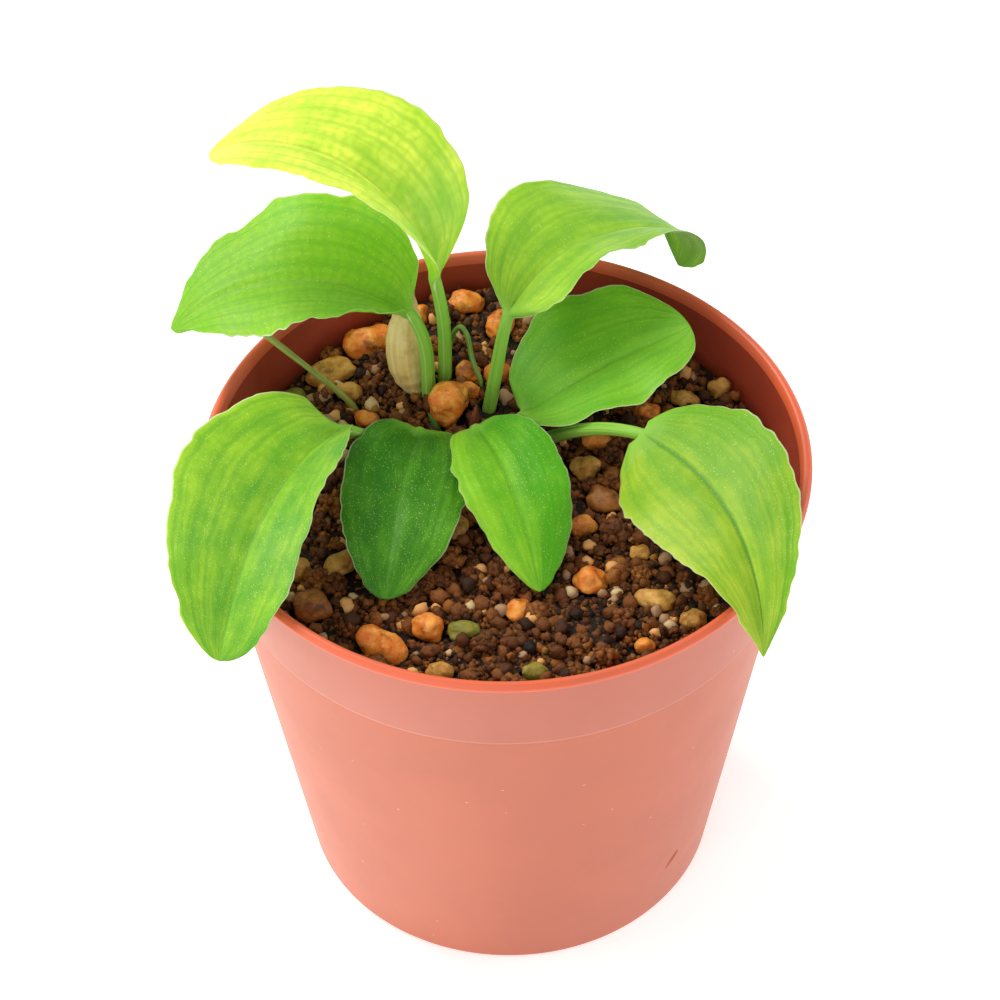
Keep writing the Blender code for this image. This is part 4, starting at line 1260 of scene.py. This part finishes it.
# ---- potting mix ---------------------------------------------------------------------------------
@dataclass(frozen=True)
class MoistMix:
    """Moist baked-clay and peat crumbs: dark, dull, with wet facets that catch the light."""

    crumb_mm: float = 0.55
    shaded: str = "#200f04"

    def build(self) -> Material:
        """Makes the material. Each crumb's own tone is in its "tone" attribute."""
        made, tree, shader = new_material("moist_potting_mix")
        place = add_node(tree, "TexCoord").outputs["Object"]
        tone = add_node(tree, "Attribute", attribute_name="tone").outputs["Fac"]
        base = add_node(tree, "ValToRGB", {0: tone}, ramp=[
            (0.0, "#120802"), (0.2, "#3e200a"), (0.5, "#80491c"), (0.82, "#a86428"),
            (0.94, "#c0802e"), (1.0, "#d09a3a")]).outputs["Color"]
        mottle = add_node(tree, "TexNoise", {"Vector": place, "Scale": 1 / (self.crumb_mm * MM),
                                             "Detail": 4.0, "Roughness": 0.7}).outputs["Fac"]
        shade = add_node(tree, "MapRange", {"Value": mottle, "From Min": 0.35, "From Max": 0.7,
                                            "To Min": 0.55}).outputs[0]
        colour = layered(tree, self.shaded, (shade, base))
        wet = add_node(tree, "MapRange", {"Value": mottle, "From Min": 0.3, "From Max": 0.7,
                                          "To Min": 0.32, "To Max": 0.75}).outputs[0]
        relief = add_node(tree, "Bump", {"Height": mottle, "Strength": 0.9,
                                         "Distance": 0.35 * MM}).outputs[0]
        set_inputs(tree, shader, {"Base Color": colour, "Roughness": wet, "Normal": relief,
                                  "Specular IOR Level": 0.3})
        return made


@dataclass
class Stamp:
    """One crumb shape, to be copied many times."""

    points: np.ndarray
    faces: np.ndarray

    @classmethod
    def carve(cls, seed: int, lumps: float, detail: int) -> "Stamp":
        """Makes a crumb from a ball that is knocked about.

        Args:
            seed: Makes this crumb different from the others.
            lumps: How uneven it is, as a share of its radius.
            detail: How often the ball's faces are divided, 1 or 2.

        Returns:
            The crumb, about 1 across.
        """
        block = bmesh.new()
        bmesh.ops.create_icosphere(block, subdivisions=detail, radius=0.5)
        shift = Vector((seed * 1.9, seed * 2.3, seed * 0.7))
        for vert in block.verts:
            out = vert.co.normalized()
            radius = 0.5 * (1 + lumps * noise.noise(out * 1.4 + shift) * 2)
            vert.co = out * radius
        block.verts.index_update()
        points = np.array([vert.co[:] for vert in block.verts])
        faces = np.array([[vert.index for vert in face.verts] for face in block.faces])
        block.free()
        return cls(points, faces)


@dataclass
class Crumb:
    """One crumb of the mix: where it lies, how big it is and how light it is."""

    place: Vector
    size: float
    tone: float


@dataclass
class PottingMix:
    """The mix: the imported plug, dressed, with loose and clustered crumbs all over its surface."""

    depth_below_rim: float = 9.5 * MM
    wall_clearance: float = 0.9 * MM
    stone_clearance: float = 0.1 * MM
    dust_count: int = 8500
    fine_count: int = 8500
    coarse_count: int = 700
    clump_count: int = 110
    chip_count: int = 120
    chip_shares: tuple = ((Tone.ORANGE, 0.9), (Tone.BROWN, 1.0), (Tone.TAN, 0.5))
    dust_mm: tuple = (0.45, 0.9)
    fine_mm: tuple = (0.7, 1.5)
    coarse_mm: tuple = (1.4, 2.5)
    clump_mm: tuple = (2.4, 4.4)
    chip_mm: tuple = (0.9, 2.4)
    clump_grains: int = 34
    unevenness: float = 0.9 * MM
    hillock: float = 6 * MM
    foot_clearance: float = 1.0 * MM
    small_feet: tuple = ((-13.4, 21.4), (-4.9, 12.9), (-9.4, 12.1))  # sheath, bud and shoot, mm
    pot: Pot = field(init=False)
    random: np.random.Generator = field(init=False)
    surface: BVHTree = field(init=False)
    level: float = field(init=False)
    limit: float = field(init=False)
    obstacles: list[tuple] = field(init=False)
    stamps: list[Stamp] = field(init=False)

    def build(self, pot: Pot) -> None:
        """Dresses the plug and strews the crumbs.

        Args:
            pot: The pot that holds the mix.
        """
        finish = MoistMix().build()
        plug = frame["nodes"]["potting_mix"]
        plug.data.materials.clear()
        plug.data.materials.append(finish)
        self.stamps = [Stamp.carve(seed, 0.35, 1) for seed in range(14)]
        self.pot = pot
        self.random = np.random.default_rng(SEED)
        self.surface = BVHTree.FromPolygons([v.co for v in plug.data.vertices],
                                            [p.vertices for p in plug.data.polygons])
        self.level = pot.height - self.depth_below_rim
        self.limit = pot.inner_radius(self.level) - self.wall_clearance
        self.obstacles = self.find_obstacles()
        dust = self.loose(self.dust_count, self.dust_mm, -0.1)
        self.strew("mix_dust", dust, finish, "moist_mix")
        fine = self.loose(self.fine_count, self.fine_mm, 0.05)
        self.strew("mix_fine_crumbs", fine, finish, "moist_mix")
        self.strew("mix_clumps", self.clumps(), finish, "moist_mix")
        self.stamps = [Stamp.carve(seed, 0.3, 2) for seed in range(20, 32)]
        coarse = self.loose(self.coarse_count, self.coarse_mm, 0.3)
        self.strew("mix_coarse_crumbs", coarse, finish, "moist_mix")
        self.stamps = [Stamp.carve(seed, 0.22, 2) for seed in range(40, 52)]
        for tone, share in self.chip_shares:
            chips = self.loose(int(self.chip_count * share), self.chip_mm, 0.3)
            name = "pumice_" + tone.name.lower()
            self.strew(name + "_chips", chips, bpy.data.materials[name], name)

    def find_obstacles(self) -> list[tuple[float, float, float, float]]:
        """Upright ovals that no crumb lies in, as (x, y, half-length, half-width).

        Returns:
            The ovals.
        """
        ovals = []
        for name in frame["nodes"]:
            if name.startswith("pumice_"):
                low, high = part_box(name)
                middle, half = (low + high) / 2, (high - low) / 2
                ovals.append((middle.x, middle.y,
                              half.x + self.stone_clearance, half.y + self.stone_clearance))
        for x, y in (*(leaf.foot for leaf in Foliage().leaves()), *self.small_feet):
            ovals.append((x * MM, y * MM, self.foot_clearance, self.foot_clearance))
        return ovals

    def ground(self, x: float, y: float) -> float:
        """Height of the plug's surface, a little uneven.

        Args:
            x: The place.
            y: The place.

        Returns:
            The height.
        """
        hit = self.surface.ray_cast(Vector((x, y, 0.2)), Vector((0, 0, -1)))[0]
        uneven = self.unevenness * noise.noise(Vector((x, y, 0.01)) / self.hillock)
        return (hit.z if hit else self.level) + uneven

    def free(self, x: float, y: float, reach: float) -> bool:
        """Whether a crumb of that radius has room, clear of stones, stalks and the pot.

        Args:
            x: The crumb's place.
            y: The crumb's place.
            reach: Its radius.

        Returns:
            Whether it is free.
        """
        if sqrt(x * x + y * y) > self.limit - reach:
            return False
        for cx, cy, rx, ry in self.obstacles:
            if ((x - cx) / (rx + 0.3 * reach)) ** 2 + ((y - cy) / (ry + 0.3 * reach)) ** 2 < 1:
                return False
        return True

    def spot(self, reach: float) -> tuple[float, float]:
        """A random free place on the surface.

        Args:
            reach: The radius that has to be free.

        Returns:
            Its x and y.
        """
        widest = self.pot.rim_radius
        while True:
            x, y = self.random.uniform(-widest, widest, 2)
            if self.free(x, y, reach):
                return x, y

    def loose(self, count: int, sizes_mm: tuple[float, float], lift: float) -> list[Crumb]:
        """Single crumbs, half sunk in the surface.

        Args:
            count: How many.
            sizes_mm: The smallest and largest.
            lift: How far they stand up, as a share of their size.

        Returns:
            The crumbs.
        """
        crumbs = []
        for _ in range(count):
            size = self.random.uniform(*sizes_mm) * MM
            x, y = self.spot(size / 2)
            height = self.ground(x, y) + size * self.random.uniform(lift - 0.35, lift + 0.25)
            crumbs.append(Crumb(Vector((x, y, height)), size, self.random.beta(2.0, 2.2)))
        return crumbs

    def clumps(self) -> list[Crumb]:
        """Crumbs stuck together in lumps a few millimetres across.

        Returns:
            The crumbs of all lumps.
        """
        crumbs = []
        for _ in range(self.clump_count):
            size = self.random.uniform(*self.clump_mm) * MM
            x, y = self.spot(size / 2)
            centre = Vector((x, y, self.ground(x, y) + size * 0.18))
            shade = self.random.uniform(0.35, 0.8)
            crumbs.append(Crumb(centre, size * 0.8, shade))
            for _ in range(self.clump_grains):
                out = Vector(self.random.normal(size=3)).normalized()
                out.z = abs(out.z) * 0.8
                grain = size * self.random.uniform(0.18, 0.38)
                tone = min(0.93, max(0.0, shade + self.random.normal() * 0.1))
                crumbs.append(Crumb(centre + out * size * 0.40, grain, tone))
        return crumbs

    def strew(self, name: str, crumbs: list[Crumb], finish: Material, slot: str) -> None:
        """Copies a stamp for each crumb into one mesh, and adds it as a piece.

        Args:
            name: The piece's name.
            crumbs: The crumbs.
            finish: Their material.
            slot: The record's material slot for them.
        """
        points, faces, tones, start = [], [], [], 0
        for crumb in crumbs:
            stamp = self.stamps[int(self.random.integers(len(self.stamps)))]
            spin = Matrix.Rotation(self.random.uniform(0, 2 * pi), 3, Vector(self.random.normal(size=3)))
            squash = self.random.uniform(0.7, 1.2, 3)
            points.append((stamp.points * squash) @ np.array(spin).T * crumb.size + np.array(crumb.place))
            faces.append(stamp.faces + start)
            tones.append(np.full(len(stamp.points), crumb.tone))
            start += len(stamp.points)
        mesh = bpy.data.meshes.new(name)
        mesh.from_pydata(np.concatenate(points).tolist(), [], np.concatenate(faces).tolist())
        mesh.attributes.new("tone", "FLOAT", "POINT").data.foreach_set("value", np.concatenate(tones))
        mesh.shade_smooth()
        add_mesh(name, mesh, finish, slot=slot)


# ---- crown ---------------------------------------------------------------------------------------
@dataclass(frozen=True)
class PlantSkin:
    """A small plant part's skin: fibres along it, blotches across it, some light through it."""

    name: str
    body: str
    streak: str
    blotch: str
    roughness: float = 0.5
    glow: float = 0.3
    fibre_mm: float = 0.35
    fibre_length_mm: float = 8.333333
    blotch_mm: float = 3.0
    blotch_share: float = 0.5

    def build(self) -> Material:
        """Makes the material.

        Returns:
            The material.
        """
        made, tree, shader = new_material(self.name)
        chart = add_node(tree, "UVMap", uv_map=UV_NAME).outputs[0]
        scale = (1 / self.fibre_mm, 1 / self.fibre_length_mm, 1.0)
        fine = add_node(tree, "Mapping", {"Vector": chart, "Scale": scale}).outputs[0]
        fibres = add_node(tree, "TexNoise", {"Vector": fine, "Scale": 1.0, "Detail": 3.0}).outputs["Fac"]
        drawn = add_node(tree, "MapRange", {"Value": fibres, "From Min": 0.4, "From Max": 0.62}).outputs[0]
        spots = add_node(tree, "TexNoise", {"Vector": chart, "Scale": 1 / self.blotch_mm, "Detail": 4.0,
                                            "Roughness": 0.65}).outputs["Fac"]
        share = add_node(tree, "MapRange", {"Value": spots, "From Min": 0.5, "From Max": 0.68,
                                            "To Max": self.blotch_share}).outputs[0]
        colour = layered(tree, self.body, (drawn, self.streak), (share, self.blotch))
        relief = add_node(tree, "Bump", {"Height": fibres, "Strength": 0.5,
                                         "Distance": 0.06 * MM}).outputs[0]
        set_inputs(tree, shader, {"Base Color": colour, "Roughness": self.roughness, "Normal": relief,
                                  "Subsurface Weight": self.glow, "Subsurface Scale": 0.8 * MM,
                                  "Subsurface Radius": (1.0, 0.7, 0.35)})
        return made


@dataclass
class Stem:
    """A tapering or thin part that follows a smooth line, with a radius at each share of it."""

    path: list[Vector]
    radii: list[float]
    around: int = 20
    along: int = 40
    wrinkle: float = 0.0
    wrinkles: int = 5
    probe: float = 0.01  # share of the length over which its direction is taken

    def ahead(self, share: float) -> Vector:
        """The line's direction at a share of its length."""
        before, after = self.point(max(0, share - self.probe)), self.point(min(1, share + self.probe))
        return (after - before).normalized()

    def point(self, share: float) -> Vector:
        """The line's point at a share of its length (Catmull-Rom).

        Args:
            share: From 0 to 1.

        Returns:
            The point.
        """
        knots = [2 * self.path[0] - self.path[1], *self.path, 2 * self.path[-1] - self.path[-2]]
        run = min(share * (len(self.path) - 1), len(self.path) - 1 - SMALL)
        k = int(run)
        u = run - k
        a, b, c, d = knots[k:k + 4]
        return 0.5 * (2 * b + (c - a) * u + (2 * a - 5 * b + 4 * c - d) * u * u
                      + (3 * b - a - 3 * c + d) * u ** 3)

    def radius(self, share: float) -> float:
        """The radius at a share of the length, eased between the given ones.

        Args:
            share: From 0 to 1.

        Returns:
            The radius.
        """
        run = min(share * (len(self.radii) - 1), len(self.radii) - 1 - SMALL)
        k = int(run)
        return self.radii[k] + (self.radii[k + 1] - self.radii[k]) * eased(run - k)

    def skin(self) -> BMesh:
        """The part's closed skin.

        Returns:
            The skin.
        """
        sides = [Vector((1, 0, 0))]
        for k in range(self.along + 1):
            ahead = self.ahead(k / self.along)
            sides.append((sides[-1] - ahead * sides[-1].dot(ahead)).normalized())
        marks = [self.point(k / 20) for k in range(21)]
        length_mm = sum((after - before).length for before, after in zip(marks, marks[1:])) / MM

        def place(around: float, along: float) -> SkinPoint:
            """The skin's point at a share of the way round and along."""
            side = sides[round(along * self.along) + 1]
            over = self.ahead(along).cross(side)
            turn = 2 * pi * around
            radius = self.radius(along) * (1 + self.wrinkle * cos(self.wrinkles * turn + 2 * along))
            at = self.point(along) + radius * (side * cos(turn) + over * sin(turn))
            across = (around if around < 0.5 else 1 - around) * 2 * pi * self.radius(0.5) / MM
            return SkinPoint(at, across, along * length_mm, 0.0, 1.0)

        return sleeve(self.around, self.along, place)


@dataclass
class Crown:
    """What stands among the stalks: the papery sheath, bud, shoot, old stalk, root and rhizome."""

    sheath_foot: tuple = (-13.4, 21.4, 70.8)
    sheath_lean: tuple = (-0.7, 6.0, 16.5)
    sheath_bow: tuple = (-1.1, -0.2, 0.0)
    sheath_radius_mm: float = 3.2
    sheath_outline: tuple = (0.35, 0.55, 0.82, 0.97, 1.0, 0.98, 0.88, 0.7, 0.45, 0.2)
    spike_outline: tuple = (0.8, 1.0, 1.05, 0.95, 0.75, 0.45, 0.1)
    runner_outline: tuple = (1.0, 1.05, 0.95, 1.0, 0.9, 1.0, 0.95, 0.85)
    end_share: float = 0.15  # of a spike's height, within which its end is looked for

    def build(self) -> None:
        """Makes each part."""
        self.add_sheath()
        self.add_spike("bud_scale", "bud", 6.0, PlantSkin("bud_scale_skin", "#6a3020", "#8c4a2c", "#3f1c12"))
        self.add_spike("shoot_tip", "shoot", 6.0, PlantSkin("shoot_skin", "#2f6a22", "#4d8a34", "#1d4a18"))
        self.add_runner("old_stalk", 0.5, [
            (-22.0, 18.3, 69.3), (-23.4, 18.6, 72.4), (-26.2, 19.2, 75.6), (-30.8, 20.7, 79.4),
            (-35.2, 22.3, 82.8), (-37.0, 23.0, 84.0)],
            PlantSkin("old_stalk_fibre", "#8c9c3c", "#a9b85a", "#6a7a2c"))
        self.add_runner("aerial_root", 0.4, [
            (-8.6, 28.0, 72.3), (-8.4, 27.4, 75.5), (-7.6, 26.6, 79.4), (-6.6, 25.8, 81.4),
            (-5.7, 25.0, 80.6), (-5.3, 24.4, 78.9), (-5.0, 23.6, 77.2), (-4.4, 22.3, 75.9),
            (-3.7, 21.5, 74.2), (-3.5, 21.3, 71.6)],
            PlantSkin("root_skin_green", "#5f8a34", "#7faa4a", "#48702a"))
        rhizome = frame["nodes"]["rhizome"]
        rhizome.data.materials.clear()
        rhizome.data.materials.append(PlantSkin("rhizome_bark", "#6a4a2c", "#8a6a40", "#3c2818").build())

    def add_sheath(self) -> None:
        """The papery bulb coat, ribbed, bowed and drawn in at both ends."""
        foot = Vector(self.sheath_foot) * MM
        tip = foot + Vector(self.sheath_lean) * MM
        bow = Vector(self.sheath_bow) * MM
        path = [foot.lerp(tip, k / 6) + bow * 4 * (k / 6) * (1 - k / 6) for k in range(7)]
        radii = [width * self.sheath_radius_mm * MM for width in self.sheath_outline]
        paper = PlantSkin("papery_bulb_coat", "#d8bd6c", "#e4d08c", "#a8803c", glow=0.5, fibre_mm=0.6,
                          blotch_share=0.45)
        skin = Stem(path, radii, around=48, along=60, wrinkle=0.03).skin()
        add_piece("sheath_coat", skin, paper.build(), "papery_sheath", slot="papery_skin")

    def add_spike(self, node: str, kind: str, height_mm: float, skin: PlantSkin) -> None:
        """A small pointed part in place of a packed spike, from its lower to its upper end.

        Args:
            node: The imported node.
            kind: The first word of its slot.
            height_mm: Its height.
            skin: Its finish.
        """
        points = [v.co for v in frame["nodes"][node].data.vertices]
        near = self.end_share * height_mm * MM
        low = min(p.z for p in points) + near
        high = max(p.z for p in points) - near
        rings = [p for p in points if p.z < low], [p for p in points if p.z > high]
        foot, tip = (sum(ring, Vector()) / len(ring) for ring in rings)
        wide = max((p - foot).length for p in rings[0])
        radii = [wide * share for share in self.spike_outline]
        path = [foot.lerp(tip, k / 4) for k in range(5)]
        shape = Stem(path, radii, around=20, along=24, wrinkle=0.06, wrinkles=4).skin()
        add_piece(node + "_skin", shape, skin.build(), node, slot=kind + "_skin")

    def add_runner(self, node: str, radius_mm: float, points: list[tuple], skin: PlantSkin) -> None:
        """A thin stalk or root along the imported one's path.

        Args:
            node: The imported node.
            radius_mm: Its radius.
            points: Its path, in mm.
            skin: Its finish.
        """
        path = [Vector(p) * MM for p in points]
        radii = [radius_mm * MM * share for share in self.runner_outline]
        slot = "old_stalk_skin" if node == "old_stalk" else "root_skin"
        shape = Stem(path, radii, around=14, along=90).skin()
        add_piece(node + "_skin", shape, skin.build(), node, slot=slot)


# ---- the whole plant -----------------------------------------------------------------------------
def main() -> None:
    """Builds the studio and every piece."""
    logging.basicConfig(level=logging.INFO, format="%(name)s: %(message)s")
    Studio().build()
    pot = Pot()
    pot.build()
    Pumice().build()
    PottingMix().build(pot)
    Crown().build()
    Foliage().build()
    bpy.context.view_layer.update()


if __name__ == "__main__":
    main()
